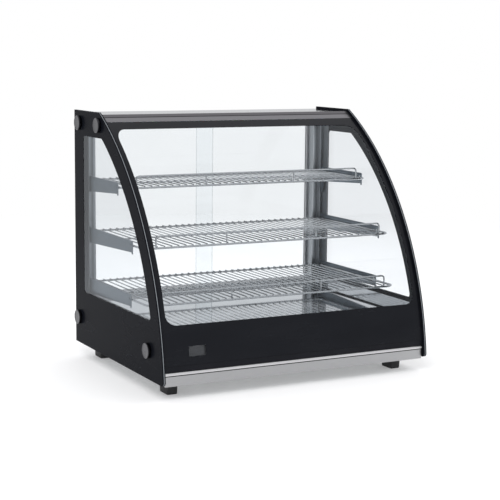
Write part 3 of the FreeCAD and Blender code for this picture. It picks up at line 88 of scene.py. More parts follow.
# ------------------------------------------------------------------------------------------------------
# Node helpers
# ------------------------------------------------------------------------------------------------------
class Shader:
    """A material under construction, with short calls for the nodes used here."""

    def __init__(self, name):
        self.material = bpy.data.materials.new(name)
        self.material.use_nodes = True
        self.tree = self.material.node_tree
        self.bsdf = self.tree.nodes["Principled BSDF"]
        self.output = self.tree.nodes["Material Output"]
        self.coords = self.tree.nodes.new("ShaderNodeTexCoord")

    def node(self, kind, **inputs):
        made = self.tree.nodes.new(kind)
        for key, value in inputs.items():
            self.set(made, key.replace("_", " "), value)
        return made

    def set(self, node, key, value):
        socket = node.inputs[int(key)] if key.isdigit() else node.inputs[key]
        if isinstance(value, bpy.types.NodeSocket):
            self.tree.links.new(value, socket)
        else:
            socket.default_value = value

    def principled(self, **inputs):
        for key, value in inputs.items():
            self.set(self.bsdf, key.replace("_", " "), value)

    def stretched(self, scale):
        """Object coordinates multiplied by scale, so that grain can run one way."""
        mapping = self.node("ShaderNodeMapping", Vector=self.coords.outputs["Object"], Scale=scale)
        return mapping.outputs["Vector"]

    def noise(self, scale, stretch=(1, 1, 1), detail=4.0, rough=0.55):
        made = self.node("ShaderNodeTexNoise", Vector=self.stretched(stretch), Scale=scale, Detail=detail)
        made.inputs["Roughness"].default_value = rough
        return made.outputs["Fac"]

    def cells(self, scale, stretch=(1, 1, 1), output="Distance"):
        made = self.node("ShaderNodeTexVoronoi", Vector=self.stretched(stretch), Scale=scale)
        return made.outputs[output]

    def fit(self, value, low, high, source=(0.3, 0.7)):
        """Maps a texture value to the range low to high."""
        made = self.node("ShaderNodeMapRange", Value=value)
        made.inputs["From Min"].default_value = source[0]
        made.inputs["From Max"].default_value = source[1]
        made.inputs["To Min"].default_value = low
        made.inputs["To Max"].default_value = high
        return made.outputs["Result"]

    def math(self, operation, first, second):
        made = self.node("ShaderNodeMath")
        made.operation = operation
        self.set(made, "0", first)
        self.set(made, "1", second)
        return made.outputs["Value"]

    def blend(self, factor, first, second):
        """A colour between first and second."""
        made = self.tree.nodes.new("ShaderNodeMix")
        made.data_type = "RGBA"
        self.set(made, "Factor", factor)
        for socket, value in (("A", first), ("B", second)):
            target = [s for s in made.inputs if s.name == socket and s.type == "RGBA"][0]
            if isinstance(value, bpy.types.NodeSocket):
                self.tree.links.new(value, target)
            else:
                target.default_value = (*value, 1)
        return [s for s in made.outputs if s.type == "RGBA"][0]

    def edges(self, radius=0.4 * MM):
        """Softened corners, seen by the light but not cut in the mesh."""
        made = self.node("ShaderNodeBevel", Radius=radius)
        made.samples = 4
        return made.outputs["Normal"]

    def corner_highlight_mask(self, radius=0.8 * MM):
        """1 on the corners of a piece, fading to 0 on its faces; it places a painted highlight on the
        corners.
        """
        soft = self.node("ShaderNodeBevel", Radius=radius)
        soft.samples = 4
        flat = self.node("ShaderNodeNewGeometry")
        dot = self.node("ShaderNodeVectorMath")
        dot.operation = "DOT_PRODUCT"
        self.tree.links.new(soft.outputs["Normal"], dot.inputs[0])
        self.tree.links.new(flat.outputs["True Normal"], dot.inputs[1])
        return self.fit(dot.outputs["Value"], 1, 0, (0.86, 0.985))

    def axis_of(self, output, axis):
        """One coordinate of a geometry output, such as Position or Normal."""
        geometry = self.node("ShaderNodeNewGeometry")
        split = self.node("ShaderNodeSeparateXYZ", Vector=geometry.outputs[output])
        return split.outputs[axis]

    def within(self, value, low, high):
        """1 where value lies between low and high."""
        above = self.math("GREATER_THAN", value, low)
        return self.math("MULTIPLY", above, self.math("LESS_THAN", value, high))

    def bump(self, height, strength, distance, base=None):
        made = self.node("ShaderNodeBump", Height=height, Strength=strength, Distance=distance)
        if base is not None:
            self.set(made, "Normal", base)
        self.set(self.bsdf, "Normal", made.outputs["Normal"])
        return made.outputs["Normal"]


def metal(
    name,
    colour,
    rough,
    grain,
    grain_scale=900.0,
    depth=0.03,
    spread=0.12,
    softness=0.4 * MM,
    tint=0.06,
    zones=(),
    edge_glint=0.0,
):
    """Metal with a grain that runs along the axis where grain is small. Each zone is (mask, colour), where
    mask(shader) marks a part of the piece that gets another colour, on some pieces a painted highlight or
    painted shade; the corner amount paints a highlight on the corners."""
    s = Shader(name)
    lines = s.noise(grain_scale, grain, 3.0)
    patches = s.noise(9.0, (1, 1, 1), 5.0)
    darker = tuple(c * (1 - tint * 2) for c in colour)
    base = s.blend(s.math("MULTIPLY", lines, patches), darker, colour)
    for mask, other in zones:
        base = s.blend(mask(s), base, other)
    # painted highlight: the corners are lightened towards pale steel, as where the light catches them
    if edge_glint:
        base = s.blend(s.math("MULTIPLY", s.corner_highlight_mask(), edge_glint), base, (0.85, 0.86, 0.88))
    uneven = s.math("ADD", s.math("MULTIPLY", lines, 0.6), s.math("MULTIPLY", patches, 0.4))
    s.principled(
        Base_Color=base,
        Metallic=1.0,
        Roughness=s.fit(uneven, rough - spread / 2, rough + spread / 2),
    )
    s.bump(lines, depth, 0.2 * MM, s.edges(softness))
    return s.material


def plastic(name, colour, rough, speck=0.04, texture_scale=2600.0, coat=0.0, softness=0.5 * MM, ior=1.45):
    """Moulded plastic or rubber: fine surface texture, faint mottling and uneven gloss."""
    s = Shader(name)
    grain = s.noise(texture_scale, (1, 1, 1), 2.0)
    patches = s.noise(14.0, (1, 1, 1), 5.0)
    lighter = tuple(min(1.0, c * 1.5 + 0.004) for c in colour)
    s.principled(
        Base_Color=s.blend(s.fit(patches, 0.0, 0.6), colour, lighter),
        Roughness=s.fit(patches, rough - 0.06, rough + 0.06),
        IOR=ior,
        Coat_Weight=coat,
        Coat_Roughness=0.12,
    )
    s.bump(grain, speck, 0.15 * MM, s.edges(softness))
    return s.material


# ------------------------------------------------------------------------------------------------------
# Materials
# ------------------------------------------------------------------------------------------------------
def clear_glass(name, tint, edge_axis=None):
    """Thin clear sheet: tinted transmission, mirror reflection by Fresnel, faint smears. Faces that look
    along edge_axis are the ground edges of the sheet, which read grey-green."""
    s = Shader(name)
    s.tree.nodes.remove(s.bsdf)
    smear = s.noise(7.0, (1, 1, 2.2), 6.0)
    dust = s.noise(900.0, (1, 1, 1), 2.0)
    clear = s.node("ShaderNodeBsdfTransparent")
    s.set(clear, "Color", s.blend(s.fit(smear, 0, 1), tint, tuple(c * 0.992 for c in tint)))
    haze = s.math("ADD", smear, s.math("MULTIPLY", dust, 0.1))
    mirror = s.node("ShaderNodeBsdfGlossy", Roughness=s.fit(haze, 0.0, 0.03))
    mirror.inputs["Color"].default_value = (0.9, 0.95, 1.0, 1)
    fresnel = s.node("ShaderNodeFresnel", IOR=1.45)
    geometry = s.node("ShaderNodeNewGeometry")
    outer_face = s.math("SUBTRACT", 1.0, geometry.outputs["Backfacing"])
    mix = s.node("ShaderNodeMixShader")
    s.set(mix, "Fac", s.math("MULTIPLY", s.math("MULTIPLY", fresnel.outputs["Fac"], 0.8), outer_face))
    s.tree.links.new(clear.outputs[0], mix.inputs[1])
    s.tree.links.new(mirror.outputs[0], mix.inputs[2])
    result = mix
    if edge_axis is not None:
        split = s.node("ShaderNodeSeparateXYZ", Vector=geometry.outputs["Normal"])
        facing = s.math("ABSOLUTE", split.outputs[edge_axis], 0)
        edge = s.node("ShaderNodeBsdfPrincipled", Roughness=0.25)
        edge.inputs["Base Color"].default_value = (0.28, 0.36, 0.35, 1)
        share = s.math("MULTIPLY", s.math("GREATER_THAN", facing, 0.6), 0.3)
        both = s.node("ShaderNodeMixShader", Fac=share)
        s.tree.links.new(mix.outputs[0], both.inputs[1])
        s.tree.links.new(edge.outputs[0], both.inputs[2])
        result = both
    s.tree.links.new(result.outputs[0], s.output.inputs["Surface"])
    return s.material


def enamel(name, ior, arris_highlight=False):
    """Black ceramic print: deep gloss with faint wiping marks and specks of dust. With the edge highlight on,
    a thin light line is painted along the middle of the sheet's edge, between the two printed faces, as a
    highlight where the edge catches the light."""
    s = Shader(name)
    wipe = s.noise(5.0, (1, 1, 3), 6.0)
    dust = s.cells(420.0)
    base = s.blend(s.fit(wipe, 0, 1), (0.0045, 0.0052, 0.0078), (0.0065, 0.0073, 0.0102))
    if arris_highlight:
        # painted highlight: a thin light line along the middle of a side pane's edge
        across = s.math("ABSOLUTE", s.axis_of("Position", "X"), 0)
        on_edge = s.math("LESS_THAN", s.math("ABSOLUTE", s.axis_of("Normal", "X"), 0), 0.4)
        line = s.math("MULTIPLY", on_edge, s.within(across, *ARRIS_HIGHLIGHT_SPAN))
        base = s.blend(line, base, (0.22, 0.235, 0.25))
    s.principled(
        Base_Color=base,
        Roughness=s.fit(wipe, 0.2, 0.3),
        IOR=ior,
    )
    s.bump(s.fit(dust, 1, 0, (0.0, 0.05)), 0.02, 0.05 * MM, s.edges(0.5 * MM))
    return s.material


def galvanised():
    """Zinc-coated sheet with its flowered crystals."""
    s = Shader("galvanised_steel")
    flowers = s.cells(70.0, (1, 1, 1), "Color")
    value = s.node("ShaderNodeRGBToBW", Color=flowers).outputs[0]
    scratch = s.noise(300.0, (1, 14, 14), 3.0)
    s.principled(
        Base_Color=s.blend(value, (0.38, 0.40, 0.41), (0.52, 0.54, 0.55)),
        Metallic=1.0,
        Roughness=s.fit(value, 0.34, 0.5, (0, 1)),
    )
    s.bump(scratch, 0.05, 0.1 * MM, s.edges())
    return s.material


def opal():
    s = Shader("lamp_glass")
    s.principled(
        Base_Color=s.blend(s.noise(20.0), (0.86, 0.86, 0.83), (0.92, 0.92, 0.90)),
        Roughness=s.fit(s.noise(60.0), 0.18, 0.3),
        Subsurface_Weight=0.2,
        Subsurface_Scale=2 * MM,
    )
    s.bump(s.noise(500.0), 0.02, 0.1 * MM)
    return s.material


def smoked_window():
    """Smoked temperature window, unlit."""
    s = Shader("display_window")
    s.principled(
        Base_Color=s.blend(s.noise(60.0), (0.026, 0.026, 0.029), (0.034, 0.034, 0.037)),
        Roughness=s.fit(s.noise(30.0), 0.12, 0.2),
        Coat_Weight=0.2,
    )
    s.bump(s.noise(1500.0), 0.02, 0.05 * MM, s.edges())
    return s.material


def barrel(s):
    """The turned side of a cap, which looks away from the case's sides, painted dark as shade and as the
    reflection of the black panel.
    """
    return s.math("LESS_THAN", s.math("ABSOLUTE", s.axis_of("Normal", "X"), 0), 0.6)


# painted highlight: the trim's upper lip is coloured lighter than the rest of the aluminium
def trim_lip(s):
    return s.math("GREATER_THAN", s.axis_of("Position", "Z"), 56.95 * MM)


# painted shade: the groove below the lip is coloured near black
def trim_groove(s):
    return s.within(s.axis_of("Position", "Z"), 54.4 * MM, 56.9 * MM)


def upper_stripe(s):
    return s.math("GREATER_THAN", s.axis_of("Position", "Z"), 607.0 * MM)


def faces_front(s):
    return s.math("LESS_THAN", s.axis_of("Normal", "Y"), -0.5)


def column(low, high):
    """An upright stripe on the front faces of both rear posts, between two distances from the middle."""
    def mask(s):
        across = s.math("ABSOLUTE", s.axis_of("Position", "X"), 0)
        return s.math("MULTIPLY", faces_front(s), s.within(across, low * MM, high * MM))
    return mask


# painted shade: the caps' turned sides are coloured near black, standing in for shade and the black panel's
# reflection
CAP_PAINTED_SHADE = [(barrel, (0.035, 0.035, 0.04))]
# painted highlight on the trim's lip and painted shade in its groove
TRIM_PAINTED_LIGHT = [(trim_lip, (0.62, 0.62, 0.63)), (trim_groove, (0.05, 0.05, 0.05))]
BAR_ZONES = [(upper_stripe, (0.13, 0.125, 0.135))]
POST_PAINTED_LIGHT = [  # painted highlight on the folded corner, painted shade on the web and at the edge of the standard, a painted light band at its slot, and painted shade at its outer edge
    (column(311.9, 313.2), (0.72, 0.74, 0.76)),
    (column(317.5, 324.0), (0.13, 0.14, 0.15)),
    (column(324.0, 327.0), (0.20, 0.21, 0.225)),
    (column(331.0, 333.6), (0.62, 0.64, 0.66)),
    (column(335.5, 341.2), (0.15, 0.16, 0.17)),
]


def make_materials():
    return {
        "clear_glass": clear_glass("clear_glass", (0.957, 0.965, 0.971)),
        # the left pane's darker tint is painted shade on a copy of the same side glass as the right pane
        "left_pane": clear_glass("left_pane", (0.895, 0.905, 0.913)),
        "right_pane": clear_glass("right_pane", (0.952, 0.958, 0.964)),
        "door_glass": clear_glass("door_glass", (0.978, 0.986, 0.99), "X"),
        "black_print": enamel("black_print", 1.24),
        # the side print carries the painted edge highlight
        "side_print": enamel("side_print", 1.065, True),
        "satin_chrome": metal(
            "satin_chrome", (0.095, 0.095, 0.102), 0.3, NO_GRAIN, 1400.0, 0.02, zones=CAP_PAINTED_SHADE
        ),
        "trim_aluminium": metal(
            "trim_aluminium", (0.42, 0.422, 0.43), 0.34, ALONG_X, 1100.0, 0.05, zones=TRIM_PAINTED_LIGHT
        ),
        "floor_mirror": metal("floor_mirror", (0.78, 0.80, 0.82), 0.05, ALONG_X, 500.0, 0.006, 0.03),
        "zinc_steel": metal("zinc_steel", (0.62, 0.63, 0.64), 0.35, NO_GRAIN, 700.0),
        "clear_plastic": plastic("clear_plastic", (0.62, 0.62, 0.6), 0.4),
        "black_rubber": plastic("black_rubber", (0.012, 0.012, 0.013), 0.62, 0.25, 1500.0),
        "black_plastic": plastic("black_plastic", (0.016, 0.016, 0.018), 0.42, 0.12, 2200.0),
        "channel_black": plastic("channel_black", (0.005, 0.0055, 0.008), 0.35, 0.02, 2200.0, ior=1.2),
        "satin_aluminium": metal("satin_aluminium", (0.66, 0.66, 0.67), 0.32, ALONG_X, 1100.0, 0.05),
        "door_pull": metal("door_pull", (0.66, 0.66, 0.67), 0.32, ALONG_Z, 1100.0, 0.05),
        "display_window": smoked_window(),
        "bronze_aluminium": metal(
            "bronze_aluminium", (0.225, 0.22, 0.235), 0.36, ALONG_X, 1100.0, 0.05, zones=BAR_ZONES
        ),
        "polished_steel": metal("polished_steel", (0.62, 0.64, 0.66), 0.09, ALONG_X, 700.0, 0.02, 0.06),
        "lamp_glass": opal(),
        "white_plastic": plastic("white_plastic", (0.72, 0.72, 0.7), 0.4, 0.05),
        "galvanised_steel": galvanised(),
        # brushed, post and bracket steel get a painted highlight along their corners
        "brushed_steel": metal("brushed_steel", (0.33, 0.35, 0.37), 0.36, ALONG_Z, 900.0, 0.05, edge_glint=0.35),
        "post_steel": metal(
            "post_steel", (0.33, 0.35, 0.37), 0.36, ALONG_Z, 900.0, 0.03, 0.08, zones=POST_PAINTED_LIGHT, edge_glint=0.3
        ),
        "bracket_steel": metal("bracket_steel", (0.14, 0.168, 0.195), 0.38, ALONG_Y, 900.0, 0.06, edge_glint=0.4),
        "chrome_wire": metal("chrome_wire", (0.50, 0.515, 0.53), 0.15, NO_GRAIN, 500.0, 0.02, 0.1, 0.2 * MM),
        "heater_sheath": metal(
            "heater_sheath", (0.22, 0.2, 0.18), 0.5, NO_GRAIN, 400.0, 0.1, 0.2, 0.3 * MM, 0.2
        ),
        "copper_bulb": metal("copper_bulb", (0.62, 0.36, 0.24), 0.35, NO_GRAIN, 500.0),
        "green_rocker": plastic("green_rocker", (0.01, 0.2, 0.06), 0.25, 0.02, 2200.0, 0.3),
    }


MATERIALS = make_materials()
OWN_MATERIAL = {  # nodes whose material isn't the one of their slot
    "left_door_glass": "door_glass",
    "right_door_glass": "door_glass",
    "left_door_pull": "door_pull",
    "right_door_pull": "door_pull",
    "left_side_glass": "left_pane",
    "right_side_glass": "right_pane",
    "left_side_border": "side_print",
    "right_side_border": "side_print",
    "front_trim": "trim_aluminium",
    "front_glass_channel": "channel_black",
    "left_rear_post": "post_steel",
    "right_rear_post": "post_steel",
    "shelf_standards": "post_steel",
    "floor_tray": "floor_mirror",
}
SLOT_OF = {entry["node"]: entry["material_slot"] for entry in frame["record"]["subparts"]}


def dress_cad_nodes():
    """Gives every CAD node its material and smooth shading across its curved faces."""
    for name, item in NODES.items():
        mesh = item.data
        mesh.materials.clear()
        mesh.materials.append(MATERIALS[OWN_MATERIAL.get(name, SLOT_OF[name])])
        if "custom_normal" in mesh.attributes:
            mesh.attributes.remove(mesh.attributes["custom_normal"])
        mesh.shade_smooth()
        mesh.set_sharp_from_angle(angle=math.radians(28))


# ------------------------------------------------------------------------------------------------------
# Mesh helpers
# ------------------------------------------------------------------------------------------------------
def piece(name, bm, material, node):
    """Turns a bmesh into an object that stands for a CAD node and rides on that node's body."""
    mesh = bpy.data.meshes.new(name)
    bmesh.ops.recalc_face_normals(bm, faces=bm.faces)
    bm.to_mesh(mesh)
    bm.free()
    mesh.materials.append(MATERIALS[material])
    mesh.shade_smooth()
    mesh.set_sharp_from_angle(angle=SMOOTH_ANGLE)
    item = bpy.data.objects.new(name, mesh)
    bpy.context.scene.collection.objects.link(item)
    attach(item, NODES[node]["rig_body"])
    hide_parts(node)


def ring(bm, centre, across, up, radius, sides):
    turn = 2 * math.pi / sides
    return [
        bm.verts.new(centre + (across * math.cos(i * turn) + up * math.sin(i * turn)) * radius)
        for i in range(sides)
    ]


def bridge(bm, first, second):
    count = len(first)
    for i in range(count):
        j = (i + 1) % count
        bm.faces.new((first[i], first[j], second[j], second[i]))


def tube(bm, points, radius, closed=False, sides=14):
    """A round wire along points, with domed ends when it is open."""
    points = [Vector(p) for p in points]
    count = len(points)
    rings = []
    up = None
    for i, point in enumerate(points):
        before = points[i - 1] if closed or i > 0 else point
        after = points[(i + 1) % count] if closed or i < count - 1 else point
        along = (after - before).normalized()
        if up is None:
            up = Vector((0, 0, 1)) if abs(along.z) < 0.9 else Vector((0, 1, 0))
        up = (up - along * up.dot(along)).normalized()
        across = along.cross(up)
        if closed or 0 < i < count - 1:
            rings.append(ring(bm, point, across, up, radius, sides))
            continue
        inward = along if i == 0 else -along
        dome = []
        for share in (80, 45, 0):
            angle = math.radians(share)
            centre = point + inward * radius * 0.6 * (1 - math.sin(angle))
            dome.append((centre, radius * math.cos(angle)))
        for centre, reach in dome if i == 0 else reversed(dome):
            rings.append(ring(bm, centre, across, up, reach, sides))
    for first, second in zip(rings, rings[1:]):
        bridge(bm, first, second)
    if closed:
        bridge(bm, rings[-1], rings[0])
    else:
        bm.faces.new(list(reversed(rings[0])))
        bm.faces.new(rings[-1])


def arc_points(centre, radius, start, end, steps, plane="xy"):
    """Points of an arc in the xy or xz plane, from start to end in degrees."""
    points = []
    for i in range(steps + 1):
        angle = math.radians(start + (end - start) * i / steps)
        u, v = radius * math.cos(angle), radius * math.sin(angle)
        offset = (u, v, 0) if plane == "xy" else (u, 0, v)
        points.append(Vector(centre) + Vector(offset))
    return points


def lathe(bm, profile, origin, axis, sides=72):
    """Turns (distance along axis, radius) points about an axis. The profile starts and ends on the axis."""
    axis = Vector(axis).normalized()
    up = Vector((0, 0, 1)) if abs(axis.z) < 0.9 else Vector((0, 1, 0))
    across = axis.cross(up).normalized()
    up = across.cross(axis)
    rings = [
        ring(bm, Vector(origin) + axis * along, across, up, radius, sides) for along, radius in profile
    ]
    for first, second in zip(rings, rings[1:]):
        bridge(bm, first, second)
    for end, flip in ((rings[0], True), (rings[-1], False)):
        bm.faces.new(list(reversed(end)) if flip else end)


def rounded(profile, radius, steps=4):
    """The profile with each inner corner replaced by a small arc-like bend."""
    result = [profile[0]]
    for before, corner, after in zip(profile, profile[1:], profile[2:]):
        c = Vector(corner)
        a, b = Vector(before) - c, Vector(after) - c
        reach = min(radius, a.length * 0.45, b.length * 0.45)
        start, end = c + a.normalized() * reach, c + b.normalized() * reach
        for i in range(steps + 1):
            t = i / steps
            result.append(tuple(start * (1 - t) ** 2 + c * 2 * t * (1 - t) + end * t**2))
    result.append(profile[-1])
    return result


# ------------------------------------------------------------------------------------------------------
# Shelves
# ------------------------------------------------------------------------------------------------------
def rounded_loop(left, right, front, rear, radius, z, steps=10):
    corners = [
        ((right - radius, front + radius, z), -90),
        ((right - radius, rear - radius, z), 0),
        ((left + radius, rear - radius, z), 90),
        ((left + radius, front + radius, z), 180),
    ]
    points = []
    for centre, start in corners:
        points += arc_points(centre, radius, start, start + 90, steps)
    return points


def shelf_deck(name):
    node = name + "_shelf_deck"
    low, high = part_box(node)
    r = FRAME_WIRE
    left, right, front, rear, level = low.x + r, high.x - r, low.y + r, high.y - r, low.z + r
    middle = (front + rear) / 2
    bm = bmesh.new()
    tube(bm, rounded_loop(left, right, front, rear, SHELF_ROUND, level), r, True, 18)
    lift = level + r + DECK_WIRE - WELD
    first = -WIRE_PITCH * (WIRE_COUNT - 1) / 2
    for i in range(WIRE_COUNT):
        x = first + WIRE_PITCH * i
        ends = (x, front - 0.4 * MM, lift), (x, rear + 0.4 * MM, lift)
        tube(bm, [ends[0], (x, middle, lift), ends[1]], DECK_WIRE)
    cross = level + r - CROSS_WIRE
    tube(bm, [(left, middle, cross), (right, middle, cross)], CROSS_WIRE)
    piece(name + "_wire_deck", bm, "chrome_wire", node)


def guard_rail(name):
    node = name + "_guard_rail"
    low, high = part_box(node)
    r = CROSS_WIRE
    half, y, top, foot = high.x - r, (low.y + high.y) / 2, high.z - r, low.z
    bend = RAIL_BEND
    path = [Vector((-half, y, foot)), Vector((-half, y, (foot + top) / 2))]
    path += arc_points((bend - half, y, top - bend), bend, 180, 90, 10, "xz")
    path += arc_points((half - bend, y, top - bend), bend, 90, 0, 10, "xz")
    path += [Vector((half, y, (foot + top) / 2)), Vector((half, y, foot))]
    bm = bmesh.new()
    tube(bm, path, r, False, 18)
    for x in (-RAIL_PROP, RAIL_PROP):
        tube(bm, [(x, y, foot), (x, y, top)], PROP_WIRE)
    piece(name + "_rail", bm, "chrome_wire", node)


# ------------------------------------------------------------------------------------------------------
# Turned and moulded pieces
# ------------------------------------------------------------------------------------------------------
def stud_caps():
    """Chromed caps with a rolled rim and a shallow dished face."""
    low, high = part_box("stud_caps")
    radius, proud = CAP_RADIUS, CAP_PROUD
    profile = [
        (0, ON_AXIS),
        (0, radius - 1.2 * MM),
        (1.0 * MM, radius),
        (proud - 1.0 * MM, radius),
        (proud, radius - 1.0 * MM),
        (proud, radius - 2.6 * MM),
        (proud - 0.5 * MM, radius - 3.2 * MM),
        (proud - 0.35 * MM, ON_AXIS),
    ]
    profile = rounded(profile, 0.8 * MM)
    lower, upper = low.z + radius, high.z - radius
    upper_rear, upper_middle = 219.5 * MM, 93 * MM
    bm = bmesh.new()
    places = [(low.y + radius, lower), (high.y - radius, lower), (upper_rear, upper), (upper_middle, upper)]
    for y, z in places:
        for side in (-1, 1):
            lathe(bm, profile, (side * (high.x - proud), y, z), (side, 0, 0))
    piece("stud_cap_set", bm, "satin_chrome", "stud_caps")


def foot_block(bm, low, high):
    """A moulded rubber block with rounded corners, a chamfered tread and slightly drawn sides."""
    cx, cy = (low.x + high.x) / 2, (low.y + high.y) / 2
    wide, deep = (high.x - low.x) / 2, (high.y - low.y) / 2
    stages = [(0.0, 2.4), (0.8, 1.5), (2.2, 1.2), (34.0, 0.0), (35.4, 0.2), (36.0, 0.8)]
    loops = []
    for z, inset in stages:  # each height above the floor and its inset from the full block, in mm
        w, d, r = wide - inset * MM, deep - inset * MM, 3.2 * MM
        points = rounded_loop(cx - w, cx + w, cy - d, cy + d, r, low.z + z * MM, 5)
        loops.append([bm.verts.new(p) for p in points])
    for first, second in zip(loops, loops[1:]):
        bridge(bm, first, second)
    bm.faces.new(list(reversed(loops[0])))
    bm.faces.new(loops[-1])


def feet():
    low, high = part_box("feet")
    wide, deep = 28 * MM, 45 * MM
    bm = bmesh.new()
    for x in (low.x, high.x - wide):
        for y in (low.y, high.y - deep):
            foot_block(bm, Vector((x, y, 0)), Vector((x + wide, y + deep, high.z)))
    piece("rubber_feet", bm, "black_rubber", "feet")


def thermostat_knob():
    """Knob with a flared skirt, a ribbed drum and a raised pointer."""
    low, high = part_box("thermostat_knob")
    centre = (low + high) / 2
    skirt, drum, deep = (high.x - low.x) / 2, 13.8 * MM, high.y - low.y
    profile = [
        (0, ON_AXIS),
        (0, skirt),
        (2.6 * MM, skirt),
        (3.4 * MM, skirt - 0.8 * MM),
        (6 * MM, drum + 1 * MM),
        (8 * MM, drum),
        (deep - 1.2 * MM, drum - 0.4 * MM),
        (deep, drum - 1.8 * MM),
        (deep, ON_AXIS),
    ]
    sides, groove = 120, 0.5 * MM
    bm = bmesh.new()
    rings = []
    for along, radius in profile:
        ribbed = radius > 8 * MM and along > 7 * MM
        loop = []
        for i in range(sides):
            angle = 2 * math.pi * i / sides
            reach = radius - (groove if ribbed and i % 4 < 2 else 0)
            x, z = centre.x + reach * math.cos(angle), centre.z + reach * math.sin(angle)
            loop.append(bm.verts.new((x, low.y + along, z)))
        rings.append(loop)
    for first, second in zip(rings, rings[1:]):
        bridge(bm, first, second)
    bm.faces.new(rings[0])
    bm.faces.new(list(reversed(rings[-1])))
    tail, tip = centre.z + 4 * MM, centre.z + drum - 2 * MM
    middle = Vector((centre.x, high.y - 0.3 * MM, (tail + tip) / 2))
    size = Vector((1.6 * MM, 0.9 * MM, tip - tail))
    for vertex in bmesh.ops.create_cube(bm, size=1.0)["verts"]:
        vertex.co = middle + vertex.co * size
    piece("control_knob", bm, "black_plastic", "thermostat_knob")


def power_cord():
    """The wound cord, from its gland through two turns to the plug."""
    gland_x, gland_y, level = 222 * MM, 237 * MM, 78 * MM
    plane, corner = 268 * MM, 10 * MM            # plane of the turns, and the bend that leads into it
    left, right = 172 * MM, 230 * MM             # centres of the bends at the two sides of each turn
    bend, step, tail = 18 * MM, 8.2 * MM, 30 * MM
    path = [Vector((gland_x, gland_y, level))]
    path += arc_points((gland_x - corner, plane - corner, level), corner, 0, 90, 8)
    for _ in range(2):
        path += arc_points((left, plane, level + bend), bend, 270, 90, 20, "xz")
        level += bend * 2
        bend += step / 2
        path += arc_points((right, plane, level - bend), bend, 90, -90, 20, "xz")
        level -= bend * 2
        bend += step / 2
    path.append(Vector((left - tail, plane, level)))
    bm = bmesh.new()
    tube(bm, path, CORD_RADIUS, False, 20)
    piece("wound_cord", bm, "black_rubber", "power_cord")


def power_plug():
    """Moulded plug: ribbed neck, barrel with a grip waist, and two round pins."""
    low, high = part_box("power_plug")
    y, z = (low.y + high.y) / 2, (low.z + high.z) / 2
    pin_length, pin_radius, pin_offset = 19 * MM, 2.4 * MM, 9.5 * MM
    barrel_mm = [(0, 12.8), (8, 12.9), (17, 11), (25, 12.4), (29, 10), (30, 5.8)]
    ribs_mm = [(32, 5.8), (32.4, 5.0), (33.6, 5.0), (34, 5.6), (36, 5.6), (36.4, 4.8), (37.6, 4.8), (38, 5.2)]
    body = [(along * MM, radius * MM) for along, radius in barrel_mm + ribs_mm + [(40, 5.0)]]
    body = [(0, ON_AXIS)] + body + [(40.5 * MM, ON_AXIS)]
    bm = bmesh.new()
    lathe(bm, rounded(body, 0.6 * MM), (low.x + pin_length, y, z), (1, 0, 0), 48)
    piece("moulded_plug", bm, "black_rubber", "power_plug")
    pin = [
        (0, ON_AXIS),
        (0, pin_radius / 2),
        (pin_radius / 2, pin_radius),
        (pin_length + 0.5 * MM, pin_radius),
        (pin_length + 0.6 * MM, ON_AXIS),
    ]
    pin = rounded(pin, 0.8 * MM)
    pins = bmesh.new()
    for side in (-1, 1):
        lathe(pins, pin, (low.x, y, z + side * pin_offset), (1, 0, 0), 24)
    piece("plug_pins", pins, "zinc_steel", "power_plug")


def build_pieces():
    for name in ("top", "middle", "bottom"):
        shelf_deck(name)
        guard_rail(name)
    stud_caps()
    feet()
    thermostat_knob()
    power_cord()
    power_plug()


# ------------------------------------------------------------------------------------------------------
# Studio: floor, light and camera
# ------------------------------------------------------------------------------------------------------
def studio_floor():
    s = Shader("studio_floor")
    s.principled(
        Base_Color=s.blend(s.noise(3.0), (0.74, 0.74, 0.745), (0.76, 0.76, 0.765)),
        Roughness=0.85,
        Specular_IOR_Level=0.1,
    )
    s.bump(s.noise(200.0), 0.02, 0.2 * MM)
    reach = s.node("ShaderNodeVectorMath", Vector=s.coords.outputs["Object"])
    reach.operation = "LENGTH"
    white = s.node("ShaderNodeEmission", Strength=1.0)
    lit = s.node("ShaderNodeAddShader")
    lift = s.node("ShaderNodeEmission", Strength=0.24)
    s.tree.links.new(s.bsdf.outputs[0], lit.inputs[0])
    s.tree.links.new(lift.outputs[0], lit.inputs[1])
    fade = s.node("ShaderNodeMixShader", Fac=s.fit(reach.outputs["Value"], 0, 1, (1.2, 3.0)))
    s.tree.links.new(lit.outputs[0], fade.inputs[1])
    s.tree.links.new(white.outputs[0], fade.inputs[2])
    s.tree.links.new(fade.outputs[0], s.output.inputs["Surface"])
    mesh = bpy.data.meshes.new("studio_floor")
    bm = bmesh.new()
    bmesh.ops.create_circle(bm, cap_ends=True, radius=30.0, segments=96)
    bm.to_mesh(mesh)
    bm.free()
    mesh.materials.append(s.material)
    item = bpy.data.objects.new("studio_floor", mesh)
    bpy.context.scene.collection.objects.link(item)
    item.location.z = -0.2 * MM


def area_light(name, place, size, power):
    """A soft rectangular light that looks at the middle of the case and doesn't show in reflections."""
    target = Vector((0, 0, 0.3))
    light = bpy.data.lights.new(name, "AREA")
    light.shape = "RECTANGLE"
    light.size, light.size_y = size
    light.energy = power
    item = bpy.data.objects.new(name, light)
    bpy.context.scene.collection.objects.link(item)
    item.location = place
    item.rotation_euler = (target - Vector(place)).to_track_quat("-Z", "Y").to_euler()
    item.visible_glossy = False


